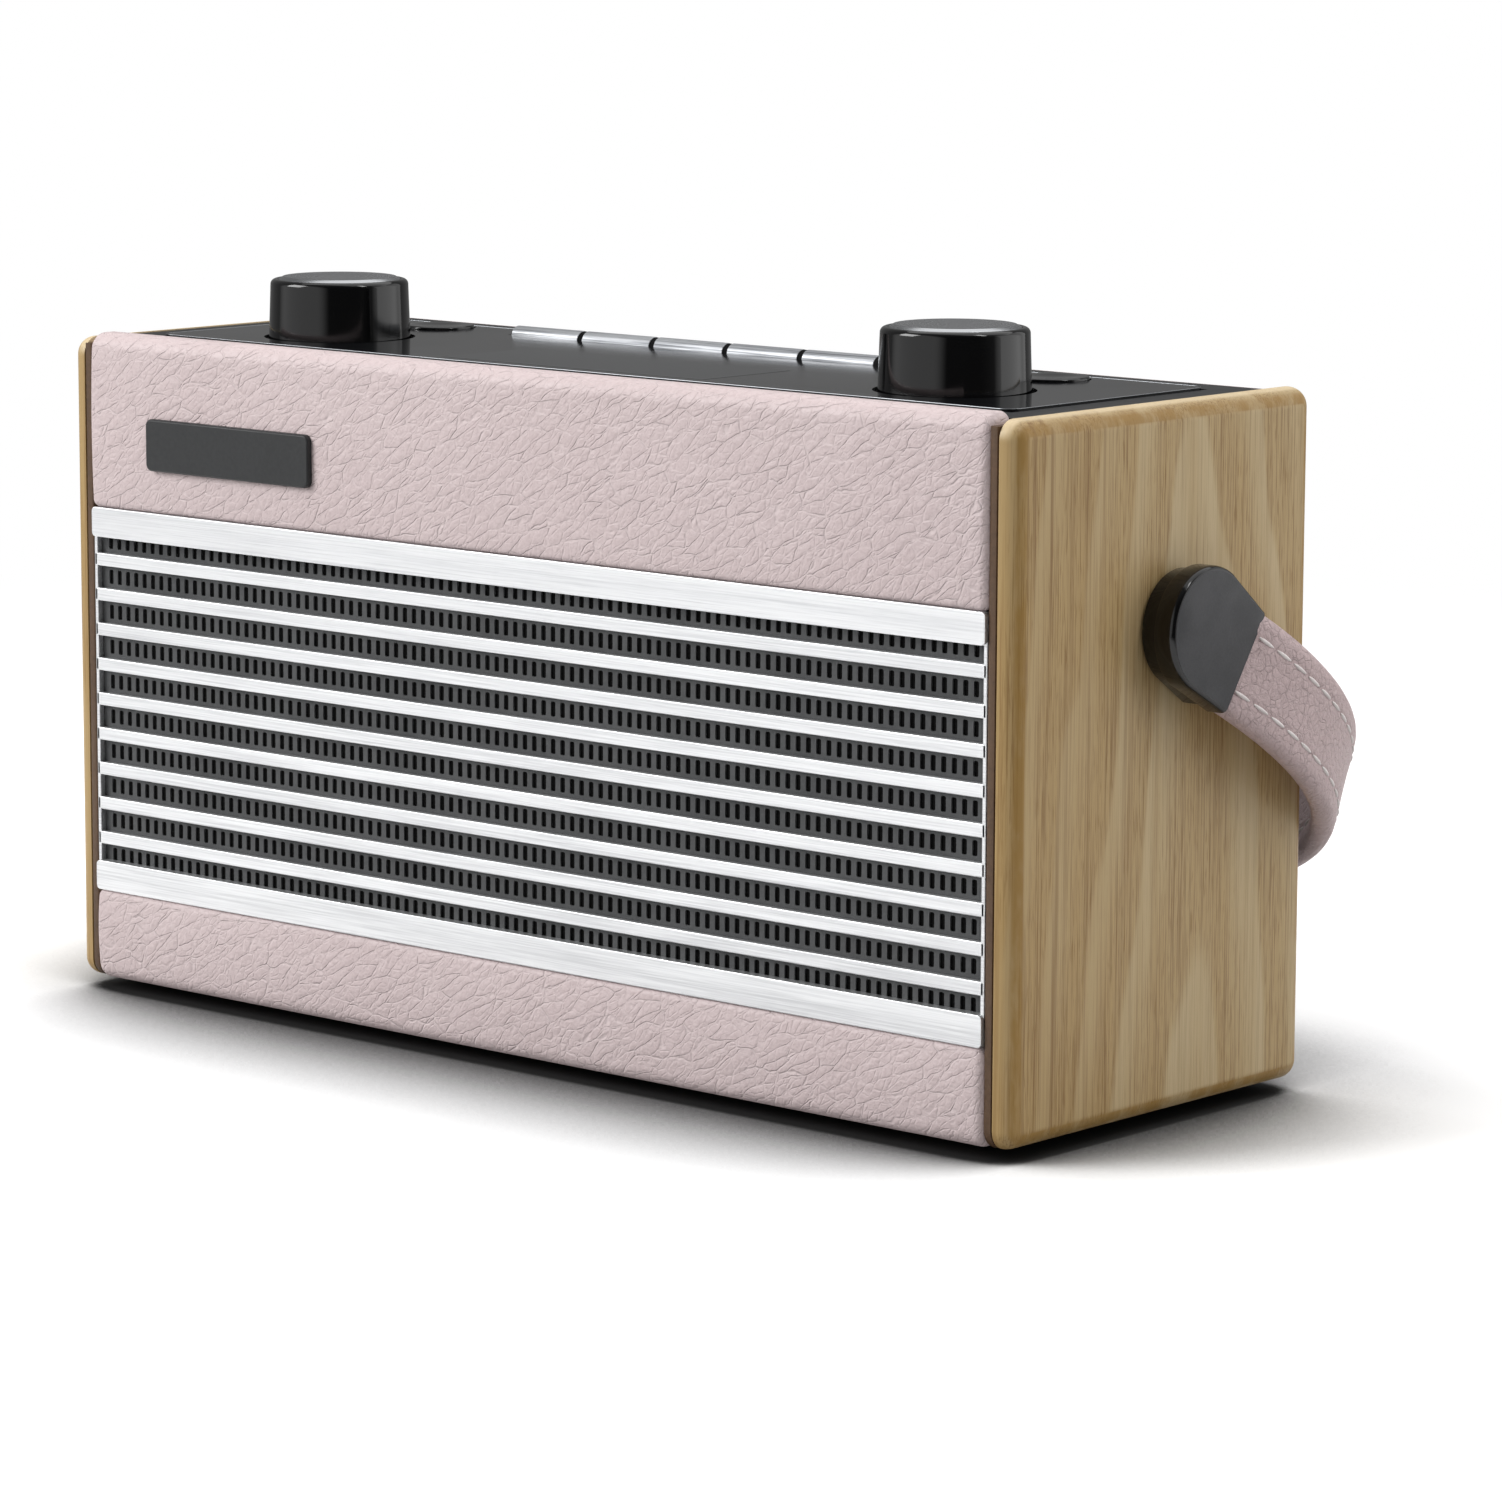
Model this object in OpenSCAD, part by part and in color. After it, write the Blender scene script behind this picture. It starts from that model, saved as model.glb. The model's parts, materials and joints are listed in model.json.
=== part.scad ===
// Portable radio: leathercloth rails, ash cheeks, slatted grille, two knobs and a strap handle.
// Millimetres, +Z up, front towards -Y. The origin is on the floor under the middle of the body.

/* [Body] */
// Width over the two wooden cheeks
body_w = 254; // [240:1:280]
// Height of the leather-covered front, without the feet
body_h = 137; // [133:1:150]
// Depth from the leather front to the back edge of the cheeks
body_d = 92; // [90:1:104]
// Thickness of a wooden cheek
cheek_t = 4.3; // [4:0.1:7]
// Rounding of a cheek's outer edges
cheek_round = 3.8; // [1:0.1:3.9]
// How far the cheeks stop short of the leather, at the front
cheek_setback = 0.8; // [0.2:0.1:2]
// How far the cheeks stop short of the leather, at the top
cheek_drop = 1.1; // [0.2:0.1:2]
// Thickness of the brown end board's front lip
lip_t = 2; // [1:0.1:4]
// Thickness of the end boards behind the lip
end_t = 8; // [6:0.5:12]
// Thickness of the base board
base_t = 8; // [6:0.5:10]
// Height of the rubber feet
foot_h = 2.5; // [1.5:0.5:6]
// Radius of a rubber foot
foot_r = 6; // [4:0.5:9]

/* [Leather rails] */
// Front-to-back thickness of the front rails
rail_t = 12; // [10:0.5:15]
// Height of the lower front rail
low_rail_h = 19.2; // [15:0.1:25]
// Rolled edge radius of the leather
roll_r = 3.5; // [1:0.1:5]
// Small edge radius of the leather beside the grille
tuck_r = 1.4; // [0.5:0.1:3]
// Leather margin on top, in front of the deck
front_lip = 6.5; // [4:0.5:9]
// Leather margin on top, behind the deck
rear_lip = 9.5; // [8:0.5:13]
// Height of the rear top rail
rear_top_h = 16; // [12:0.5:20]
// Height of the rear bottom rail
rear_low_h = 12; // [10:0.5:16]

/* [Grille] */
// Height of the whole grille
grille_h = 81.4; // [78:0.1:90]
// Height of the wide bars at its top and bottom
wide_bar_h = 6.3; // [4:0.1:8]
// Height of a thin bar
thin_bar_h = 2.75; // [2:0.05:3.5]
// Number of thin bars
thin_bars = 9; // [5:1:9]
// Spacing of the thin bars
bar_pitch = 7.4; // [6.5:0.1:7.5]
// Thickness of the thin bars
bar_t = 1.4; // [0.8:0.1:2]
// How far the wide bars stand proud of the thin ones
bar_step = 0.8; // [0.2:0.1:1.5]
// Width of the strips at the ends of the thin bars
end_strip = 0.9; // [0.6:0.1:2]
// Gap between the grille and the end boards
grille_gap = 0.6; // [0.2:0.1:2]
// Thickness of the slotted screen
screen_t = 1.6; // [1:0.1:3]
// Spacing of the slots along a row
slot_pitch = 2.54; // [2:0.02:4]
// Width of a slot
slot_w = 1; // [0.5:0.1:1.4]
// Height of a slot
slot_h = 2.65; // [1.5:0.05:3.2]
// Bare width at each end of a row
slot_margin = 1.6; // [1:0.1:6]

/* [Badge] */
// Width of the bare badge plate
badge_w = 47.8; // [30:0.2:60]
// Height of the badge plate
badge_h = 10.8; // [8:0.2:16]
// Thickness of the badge plate
badge_t = 1.6; // [0.8:0.1:3]
// Corner radius of the badge plate
badge_r = 1.5; // [0.5:0.1:3]
// Sideways place of the badge's middle
badge_x = -78; // [-85:1:85]
// Height of the badge's middle above the upper rail's lower edge
badge_rise = 14.4; // [9:0.1:24]

/* [Deck] */
// Depth of the deck's gloss plate below the leather
deck_drop = 0.8; // [0.4:0.1:2]
// How far the gloss plate stands proud of its frame
deck_proud = 0.5; // [0.2:0.1:1]
// Thickness of the deck moulding
panel_t = 3.5; // [3:0.1:5]
// Thickness of the gloss plate
plate_t = 1.5; // [1:0.1:1.8]
// Margin of the deck moulding round the gloss plate
plate_margin = 8; // [6:0.5:10]
// Corner radius of the gloss plate
plate_r = 3; // [1:0.5:5]
// Clearance between the deck moulding and the cheeks
deck_gap = 0.3; // [0.1:0.1:1]
// Width of the display
display_w = 70; // [50:1:90]
// Depth of the display, front to back
display_d = 26; // [16:1:30]
// Front-to-back place of the display's middle
display_y = -15; // [-18:1:-13]

/* [Knobs and keys] */
// Sideways place of the knobs
knob_x = 83; // [78:0.1:88]
// Front-to-back place of the knobs
knob_y = -9.6; // [-13:0.1:-6]
// Radius of a knob at its skirt
knob_r = 14.75; // [13:0.05:16]
// Radius of a knob at its top
knob_top_r = 14.35; // [13:0.05:15]
// Height of a knob above the deck
knob_h = 12.4; // [11:0.1:18]
// Rounding of a knob's top edge
knob_round = 1.3; // [0.5:0.1:2]
// Radius of the metal disc on a knob
disc_r = 12.7; // [9:0.1:12.7]
// Thickness of the metal disc
disc_t = 0.9; // [0.5:0.1:1.5]
// Clearance between a knob and the hole it sits in
knob_gap = 1; // [0.5:0.1:2]
// Depth that a knob sinks into its hole
knob_sink = 0.8; // [0.4:0.1:0.9]
// Radius of a control shaft
shaft_r = 3; // [2.5:0.1:3.2]
// Travel of the push-to-select knob
push_travel = 0.5; // [0.3:0.1:0.5]
// Number of bar keys
bar_keys = 6; // [3:1:6]
// Spacing of the bar keys
key_pitch = 20.1; // [17:0.05:20.4]
// Radius of a bar key's rounded top
bar_r = 2.2; // [1.8:0.1:2.6]
// Gap between two bar keys
bar_gap = 0.9; // [0.5:0.1:1.5]
// Front-to-back place of the bar keys
bar_y = 19.9; // [17:0.1:21]
// Depth of a bar key's foot below the deck
bar_sink = 0.4; // [0.3:0.1:0.4]
// Travel of the bar keys
bar_travel = 1; // [0.6:0.1:1]
// Radius of a round key
round_r = 7.3; // [6:0.1:7.6]
// Sideways place of the round keys
round_x = 83; // [80:0.5:88]
// Front-to-back place of the round keys
round_y = 20.3; // [19:0.1:20.5]
// Height of a round key above the deck
round_rise = 0.6; // [0.3:0.1:1.5]
// Travel of the round keys
round_travel = 1; // [0.6:0.1:1.2]
// Side clearance of the keys
key_gap = 0.3; // [0.15:0.05:0.5]

/* [Handle] */
// Front-to-back place of the handle's pivot
pivot_y = 2.8; // [-2:0.1:6]
// Height of the pivot above the body's underside
pivot_rise = 93.7; // [88:0.1:96]
// Angle of the strap below level when it hangs behind the body
rest_angle = 34.2; // [30:0.1:40]
// Half width of a pivot cap
cap_r = 11.3; // [10.8:0.1:13]
// Length of a cap from the pivot to the strap
cap_len = 12.7; // [11:0.1:16]
// Thickness of a cap's base
cap_base_t = 3.7; // [3.4:0.1:5]
// Thickness of a cap's cover
cap_cover_t = 4.6; // [4.4:0.1:5.4]
// Clearance between a cap and its cheek
cap_gap = 0.5; // [0.3:0.1:1]
// Width of the strap
strap_w = 21.4; // [18:0.1:22]
// Thickness of the strap
strap_t = 5; // [4:0.1:5.2]
// Angle at which the strap leaves a cap, outwards
bow_angle = 19.3; // [17:0.1:21]
// Radius of the strap's outward bow
bow_r = 55; // [52:1:60]
// Radius of the strap's bend round the back
bend_r = 55; // [52:1:58]
// Lean of the strap's bend from upright
bend_lean = 22.1; // [20:0.1:24]
// Radius of a pivot stud
stud_r = 4; // [3:0.1:4.4]

/* [Back] */
// Thickness of the back cover
cover_t = 3; // [2.6:0.1:4]
// Depth of the back cover's face inside the cheeks' back edge
cover_inset = 3; // [2:0.5:5]
// Width of the battery opening
bay_w = 124; // [116:1:130]
// Height of the battery opening
bay_h = 34; // [32:0.5:36]
// Height of the battery opening's lower edge above the cover's
bay_rise = 51; // [48:0.5:52]
// Radius of a battery cell
cell_r = 7.1; // [6.8:0.1:7.2]
// Length of a battery cell
cell_len = 50; // [48:0.5:50.5]
// Width of the socket plate
sock_w = 40; // [36:1:44]
// Height of the socket plate
sock_h = 15; // [13:0.5:18]
// Radius of a headphone or line socket
jack_r = 1.85; // [1.8:0.05:1.9]
// Length of a headphone or line socket
jack_len = 14; // [12:0.5:16]
// Radius of the power inlet
inlet_r = 3.2; // [2.8:0.1:3.4]

/* [Aerial] */
// Distance of the aerial's swivel inside the end board
aerial_in = 14.7; // [14:0.1:18]
// Depth of the aerial's line below the back cover's top edge
aerial_drop = 10.2; // [9.5:0.1:11]
// Outer radius of the thickest aerial tube
tube_r = 3.5; // [3.2:0.1:3.8]
// Length of the thickest aerial tube
tube_len = 172; // [160:1:180]
// Wall of an aerial tube with its running gap
tube_step = 0.8; // [0.6:0.05:0.9]
// Running clearance of a sliding or turning fit
run_gap = 0.05; // [0.02:0.01:0.08]

/* [Inside] */
// Radius of a loudspeaker's flange
speaker_r = 33; // [30:0.5:34]
// Depth of a loudspeaker
speaker_d = 28; // [24:0.5:34]
// Sideways place of the loudspeakers
speaker_x = 60; // [54:0.5:64]
// Thickness of a circuit board
board_t = 1.6; // [1:0.1:2.4]

/* [Hidden] */
$fn = 48;
eps = 0.01;
front_y = -body_d / 2;
back_y = body_d / 2;
base_z = foot_h;
top_z = foot_h + body_h;
cheek_x = body_w / 2 - cheek_t;
core_x = cheek_x - lip_t;
inner_x = cheek_x - end_t;
trim_y = front_y + cheek_setback;
cheek_top = top_z - cheek_drop;
rail_back = front_y + rail_t;
grille_z0 = base_z + low_rail_h;
grille_z1 = grille_z0 + grille_h;
deck_z = top_z - deck_drop;
frame_z = deck_z - deck_proud;
panel_z = frame_z - panel_t;
pocket_z = deck_z - plate_t;
panel_front = front_y + front_lip;
panel_back = back_y - rear_lip;
rabbet = 6;
rear_y = panel_back - rabbet;
rear_top_z = frame_z - rear_top_h;
rear_low_z = base_z + rear_low_h;
cover_y = back_y - cover_inset;
seat_y = cover_y - cover_t;

slat_y = front_y + bar_step;
screen_y = slat_y + bar_t;
baffle_y = screen_y + screen_t;
sheet_y = screen_y + screen_t / 2;
grille_x = core_x - grille_gap;
grille_mid = (grille_z0 + grille_z1) / 2;
bar_z = [for (i = [0 : thin_bars - 1]) grille_mid + (i - (thin_bars - 1) / 2) * bar_pitch];
row_z = [for (i = [0 : thin_bars]) grille_mid + (i - thin_bars / 2) * bar_pitch];
slots = floor((2 * (grille_x - slot_margin) - slot_w) / slot_pitch) + 1;

plate_x = cheek_x - deck_gap - plate_margin;
plate_y0 = panel_front + plate_margin;
plate_y1 = panel_back - plate_margin;
ring_r = knob_r + knob_gap;
bar_len = key_pitch - bar_gap;
bar_row = bar_keys * key_pitch;
blade_t = 2.4;
blade_len = bar_len - 3;
flange_t = 1;
flange_gap = 0.1;
flange_w = 0.9;
stem_z = panel_z - flange_gap - flange_t;
board_drop = 6.5;
board_z = panel_z - board_drop;
switch_w = 6;
switch_button = 0.6;
switch_gap = 0.2;
post_r = 3;
front_post_x = 62;
front_post_y = -24;
rear_post_x = 69;
rear_post_y = 22;
posts = [for (sx = [-1, 1], p = [[front_post_x, front_post_y], [rear_post_x, rear_post_y]])
    [sx * p[0], p[1]]];
encoder_w = 12;
encoder_drop = 2;
encoder_base = 0.5;
encoder_top = panel_z - encoder_drop;
encoder_floor = board_z + encoder_base;
shaft_gap = 0.3;
collar_r = 5.5;
collar_t = 1.2;
hub_r = 5;
knob_wall = 1.9;
bore_top = deck_z + knob_h - disc_t - 2;

pivot_z = base_z + pivot_rise;
cap_x0 = body_w / 2 + cap_gap;
cap_x1 = cap_x0 + cap_base_t;
cap_x2 = cap_x1 + cap_cover_t;
strap_x = cap_x2 - strap_t / 2;
tongue_w = 14;
tongue_t = 2.4;
tongue_run = 6.6;
tongue_gap = 0.15;
stud_head_r = 5.6;
stud_head_t = 1.2;
stud_nut_r = 7;
stud_nut_t = 2.5;
web_t = 1.9;

bay_z0 = rear_low_z + bay_rise;
bay_z1 = bay_z0 + bay_h;
door_gap = 0.4;
door_t = 2.5;
barrel_r = 1.5;
hinge_y = cover_y - barrel_r;
hinge_z = bay_z0 + door_gap + barrel_r;
trunnion_r = 0.9;
trunnion_len = 1.6;
tray_wall = 2;
tray_d = 18;
cell_gap = 0.25;
cells = [for (sx = [-1, 1], sz = [-1, 1]) [sx, sz]];
cell_y = seat_y - tray_d + tray_wall + cell_r + cell_gap;
cell_row_gap = 0.8;
cell_end_gap = 2.4;
cell_dz = cell_r + cell_row_gap;
cell_x = cell_len / 2 + cell_end_gap;
contact_t = 0.5;
contact_w = 11;

sock_flange = 2;
sock_flange_t = 1.2;
sock_inset = 2.7;
sock_rise = 11.5;
sock_x = inner_x - sock_w / 2 - sock_flange - sock_inset;
sock_z = rear_low_z + sock_rise;
barrel_out_r = 4.6;
sock_pitch = 12;
screw_r = 2.8;
screw_head_t = 1.3;
shank_r = 1.4;
screw_out = 3.5;
screw_edge = 6;
screw_rows = rear_top_z - rear_low_z - 2 * screw_edge;
screw_spots = [for (sx = [-1, 1], k = [0, 0.5, 1])
    [sx * (inner_x + screw_out), rear_low_z + screw_edge + k * screw_rows]];
magnet_r = speaker_r * 0.62;
magnet_t = 10;
basket_flange_t = 2;
basket_rim = 4.5;
basket_neck = 2.5;
basket_wall = 4;
basket_floor = 3;
cone_gap = 0.5;
paper = 1;
main_w = 110;
main_h = 36;
main_rise = 6;
main_z = rear_low_z + main_rise;
main_post = 5;
main_edge = 5;
can_t = 5;
can_margin = 7;
reservoir_r = 5;
reservoir_len = 12;

aerial_x = -(inner_x - aerial_in);
aerial_z = rear_top_z - aerial_drop;
fork_web = 1.5;
fork_gap = 0.3;
bracket_t = back_y - cover_y - 0.2;
bracket_w = 16;
bracket_h = 12.4;
bracket_r = 3;
fork_y = cover_y + bracket_t + fork_gap;
aerial_y = fork_y + fork_web + fork_gap + tube_r;
swivel_r = 3;
pin_r = 1.3;
eye_h = 4;
ear_t = 1.8;
ear_gap = 0.2;
tube_x0 = aerial_x + tube_r + 0.6;
mid_r = tube_r - tube_step;
tip_r = mid_r - tube_step;
tube_stick = 3;
saddle_w = 8;
saddle_gap = 4;
saddle_h = 3.5;
saddle_x = bay_w / 2 + saddle_gap;

// Waste of a rounded corner at the origin, for a piece that lies towards +X and +Y
module corner_waste(r) {
    difference() {
        translate([-1, -1]) square(r + 1);
        translate([r, r]) circle(r);
    }
}

// Rectangle from p to q with a radius at each corner: near-low, far-low, far-high, near-high
module soft_rect(p, q, radii) {
    difference() {
        translate(p) square(q - p);
        if (radii[0] > 0) translate(p) corner_waste(radii[0]);
        if (radii[1] > 0) translate([q[0], p[1]]) mirror([1, 0]) corner_waste(radii[1]);
        if (radii[2] > 0) translate(q) rotate(180) corner_waste(radii[2]);
        if (radii[3] > 0) translate([p[0], q[1]]) mirror([0, 1]) corner_waste(radii[3]);
    }
}

// A profile drawn in (Y, Z), pushed along X from x0 to x1
module along_x(x0, x1) {
    translate([x0, 0, 0]) rotate([90, 0, 90]) linear_extrude(x1 - x0) children();
}

// A profile drawn in (X, Z), pushed along Y from y0 to y1
module along_y(y0, y1) {
    translate([0, y1, 0]) rotate([90, 0, 0]) linear_extrude(y1 - y0) children();
}

// A profile drawn in (X, Y), pushed along Z from z0 to z1
module along_z(z0, z1) {
    translate([0, 0, z0]) linear_extrude(z1 - z0) children();
}

module block(p, q) {
    translate(p) cube(q - p);
}

module rod_along_y(x, z, r, y0, y1) {
    translate([x, y0, z]) rotate([-90, 0, 0]) cylinder(r = r, h = y1 - y0);
}

module rod_along_x(y, z, r, x0, x1) {
    translate([x0, y, z]) rotate([0, 90, 0]) cylinder(r = r, h = x1 - x0);
}

module rod_along_z(x, y, r, z0, z1) {
    translate([x, y, z0]) cylinder(r = r, h = z1 - z0);
}

module both_sides() {
    children();
    mirror([1, 0, 0]) children();
}

// Wooden cheeks: slabs whose outer edges and corners are rounded over
module right_cheek_shape() {
    r = cheek_round;
    difference() {
        intersection() {
            along_x(cheek_x, body_w / 2)
                soft_rect([trim_y, base_z], [back_y, cheek_top], [r, r, r, r]);
            along_y(trim_y, back_y)
                soft_rect([cheek_x, base_z], [body_w / 2, cheek_top], [0, r, r, 0]);
            along_z(base_z, cheek_top)
                soft_rect([cheek_x, trim_y], [body_w / 2, back_y], [0, r, r, 0]);
        }
        rod_along_x(pivot_y, pivot_z, stud_r + run_gap, cheek_x - 1, body_w / 2 + 1);
    }
}

module right_cheek() {
    color("BurlyWood") right_cheek_shape();
}

module left_cheek() {
    color("BurlyWood") mirror([1, 0, 0]) right_cheek_shape();
}

// End boards: a thin lip shows beside the leather, the thick part carries the rails and the cover
module right_end_board_shape() {
    difference() {
        union() {
            block([inner_x, rail_back, base_z], [cheek_x, seat_y, panel_z]);
            block([core_x, trim_y, base_z], [cheek_x, rail_back, panel_z]);
            block([core_x, trim_y, panel_z - 1], [cheek_x, panel_front, cheek_top]);
        }
        block([inner_x - 1, rear_y, rear_top_z], [cheek_x + 1, back_y, top_z]);
        block([inner_x - 1, rear_y, base_z - 1], [cheek_x + 1, back_y, rear_low_z]);
        rod_along_x(pivot_y, pivot_z, stud_r + run_gap, inner_x - 1, cheek_x + 1);
    }
}

module right_end_board() {
    color("SaddleBrown") right_end_board_shape();
}

module left_end_board() {
    color("SaddleBrown") mirror([1, 0, 0]) right_end_board_shape();
}

module base_board() {
    color("Sienna") block([-inner_x, rail_back, base_z], [inner_x, rear_y, base_z + base_t]);
}

module feet() {
    foot_in = foot_r + 2;
    chamfer = foot_r / 5;
    color("DimGray")
        for (sx = [-1, 1], y = [rail_back + foot_in, rear_y - foot_in])
            translate([sx * (inner_x - 2 * foot_in), y, 0])
                rotate_extrude()
                    polygon([[0, 0], [foot_r - chamfer, 0], [foot_r, chamfer], [foot_r, foot_h],
                             [0, foot_h]]);
}

// Leathercloth rails: padded battens with rolled edges
module front_top_rail() {
    color("MistyRose")
        intersection() {
            along_x(-core_x, core_x)
                difference() {
                    soft_rect([front_y, grille_z1], [rail_back, top_z], [tuck_r, 0, 0, roll_r]);
                    translate([panel_front, panel_z]) square([rail_t, body_h]);
                    translate([panel_front, top_z]) rotate(180) corner_waste(tuck_r);
                }
            along_z(base_z, top_z + 1)
                soft_rect([-core_x, front_y], [core_x, rail_back], [tuck_r, tuck_r, 0, 0]);
            along_y(front_y - 1, rail_back + 1)
                soft_rect([-core_x, grille_z1], [core_x, top_z], [tuck_r, tuck_r, tuck_r, tuck_r]);
        }
}

module front_bottom_rail() {
    color("MistyRose")
        intersection() {
            along_x(-core_x, core_x)
                soft_rect([front_y, base_z], [rail_back, grille_z0], [roll_r, 0, 0, tuck_r]);
            along_z(base_z - 1, grille_z0 + 1)
                soft_rect([-core_x, front_y], [core_x, rail_back], [tuck_r, tuck_r, 0, 0]);
            along_y(front_y - 1, rail_back + 1)
                soft_rect([-core_x, base_z], [core_x, grille_z0], [tuck_r, tuck_r, tuck_r, tuck_r]);
        }
}

module rear_top_rail() {
    color("MistyRose")
        along_x(-cheek_x, cheek_x)
            difference() {
                soft_rect([rear_y, rear_top_z], [back_y, frame_z], [0, tuck_r, roll_r, 0]);
                translate([rear_y - 1, panel_z]) square([rabbet + 1, body_h]);
            }
}

module rear_bottom_rail() {
    color("MistyRose")
        along_x(-cheek_x, cheek_x)
            soft_rect([rear_y, base_z], [back_y, rear_low_z], [0, roll_r, tuck_r, 0]);
}

module baffle() {
    hole_r = speaker_r - 5;
    color("Black")
        difference() {
            block([-core_x, baffle_y, grille_z0], [core_x, rail_back, grille_z1]);
            for (sx = [-1, 1])
                rod_along_y(sx * speaker_x, grille_mid, hole_r, baffle_y - 1, rail_back + 1);
        }
}

// Slotted screen: a sheet with tall slots, which the shutter in front of it cuts into short rows
module grille_screen() {
    first = -(slots - 1) / 2 * slot_pitch;
    z0 = row_z[0] - slot_h;
    z1 = row_z[thin_bars] + slot_h;
    color("DimGray")
        difference() {
            block([-grille_x, sheet_y, grille_z0], [grille_x, baffle_y, grille_z1]);
            for (i = [0 : slots - 1])
                block([first + i * slot_pitch - slot_w / 2, sheet_y - 1, z0],
                      [first + i * slot_pitch + slot_w / 2, baffle_y + 1, z1]);
        }
}

// Shutter: a sheet with one long window for each row of slots
module grille_shutter() {
    color("DimGray")
        difference() {
            block([-grille_x, screen_y, grille_z0], [grille_x, sheet_y, grille_z1]);
            for (z = row_z)
                block([-grille_x + slot_margin / 2, screen_y - 1, z - slot_h / 2],
                      [grille_x - slot_margin / 2, sheet_y + 1, z + slot_h / 2]);
        }
}

// Aluminium slats: two wide bars, the thin bars between them and the strips at their ends
module grille_slats() {
    soften = 0.5;
    color("Gainsboro")
        union() {
            for (z = [grille_z0, grille_z1 - wide_bar_h])
                intersection() {
                    along_x(-grille_x, grille_x)
                        soft_rect([front_y, z], [screen_y, z + wide_bar_h], [soften, 0, 0, soften]);
                    along_z(z - 1, z + wide_bar_h + 1)
                        soft_rect([-grille_x, front_y], [grille_x, screen_y], [bar_step, bar_step, 0, 0]);
                }
            for (z = bar_z)
                block([-grille_x, slat_y, z - thin_bar_h / 2], [grille_x, screen_y, z + thin_bar_h / 2]);
            for (x = [-grille_x, grille_x - end_strip])
                block([x, slat_y, grille_z0 + wide_bar_h / 2],
                      [x + end_strip, screen_y, grille_z1 - wide_bar_h / 2]);
        }
}

module badge_plate() {
    z = grille_z1 + badge_rise;
    color("Black")
        along_y(front_y - badge_t, front_y)
            soft_rect([badge_x - badge_w / 2, z - badge_h / 2], [badge_x + badge_w / 2, z + badge_h / 2],
                      [badge_r, badge_r, badge_r, badge_r]);
}

// Openings that the knobs and keys share: the gloss plate is cut at the surface, the moulding below
module plate_openings() {
    for (sx = [-1, 1]) {
        translate([sx * knob_x, knob_y]) circle(ring_r);
        translate([sx * round_x, round_y]) circle(round_r + key_gap);
    }
    translate([-bar_row / 2, bar_y - bar_r - key_gap]) square([bar_row, 2 * (bar_r + key_gap)]);
}

function key_x(i) = (i - (bar_keys - 1) / 2) * key_pitch;

module top_panel() {
    color("Black")
        difference() {
            union() {
                block([-cheek_x + deck_gap, panel_front, panel_z], [cheek_x - deck_gap, panel_back, frame_z]);
                for (p = posts) rod_along_z(p[0], p[1], post_r, board_z, panel_z + eps);
            }
            block([-plate_x, plate_y0, pocket_z], [plate_x, plate_y1, frame_z + 1]);
            block([-display_w / 2 - key_gap, display_y - display_d / 2 - key_gap, panel_z - 1],
                  [display_w / 2 + key_gap, display_y + display_d / 2 + key_gap, pocket_z + 1]);
            for (sx = [-1, 1]) {
                rod_along_z(sx * knob_x, knob_y, collar_r + key_gap, panel_z - 1, pocket_z + 1);
                rod_along_z(sx * round_x, round_y, round_r + key_gap, panel_z - 1, pocket_z + 1);
            }
            for (i = [0 : bar_keys - 1])
                block([key_x(i) - blade_len / 2 - key_gap, bar_y - blade_t / 2 - key_gap, panel_z - 1],
                      [key_x(i) + blade_len / 2 + key_gap, bar_y + blade_t / 2 + key_gap, pocket_z + 1]);
        }
}

module gloss_plate() {
    fit = 0.1;
    r = plate_r;
    color("Black")
        along_z(pocket_z, deck_z)
            difference() {
                soft_rect([-plate_x + fit, plate_y0 + fit], [plate_x - fit, plate_y1 - fit], [r, r, r, r]);
                plate_openings();
            }
}

module display_module() {
    color("DarkSlateGray")
        block([-display_w / 2, display_y - display_d / 2, board_z],
              [display_w / 2, display_y + display_d / 2, pocket_z]);
}

module button_board() {
    edge = 6;
    color("DarkGreen")
        block([-plate_x + edge, plate_y0 + edge / 2, board_z - board_t],
              [plate_x - edge, plate_y1 - edge / 2, board_z]);
}

module tact_switch(x, y, travel) {
    button_r = switch_w / 4;
    top = stem_z - travel - switch_gap;
    seat = top - switch_button;
    block([x - switch_w / 2, y - switch_w / 2, board_z], [x + switch_w / 2, y + switch_w / 2, seat]);
    rod_along_z(x, y, button_r, seat - eps, top);
}

module tact_switches() {
    color("Silver") {
        for (i = [0 : bar_keys - 1]) tact_switch(key_x(i), bar_y, bar_travel);
        for (sx = [-1, 1]) tact_switch(sx * round_x, round_y, round_travel);
    }
}

module encoders() {
    color("Gray")
        for (sx = [-1, 1])
            difference() {
                translate([sx * knob_x - encoder_w / 2, knob_y - encoder_w / 2, board_z])
                    cube([encoder_w, encoder_w, encoder_top - board_z]);
                rod_along_z(sx * knob_x, knob_y, shaft_r + run_gap, encoder_floor, encoder_top + 1);
            }
}

// Main board on the cover's posts, with its tuner can and two capacitors
module main_board() {
    back = seat_y - main_post;
    front = back - board_t;
    color("DarkGreen") {
        block([-main_w / 2, front, main_z], [main_w / 2, back, main_z + main_h]);
        block([-main_w / 4, front - can_t, main_z + can_margin],
              [0, front + eps, main_z + main_h - can_margin]);
        for (x = [main_w / 8, main_w / 4])
            rod_along_y(x, main_z + main_h / 2, reservoir_r, front - reservoir_len, front + eps);
    }
}

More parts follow.
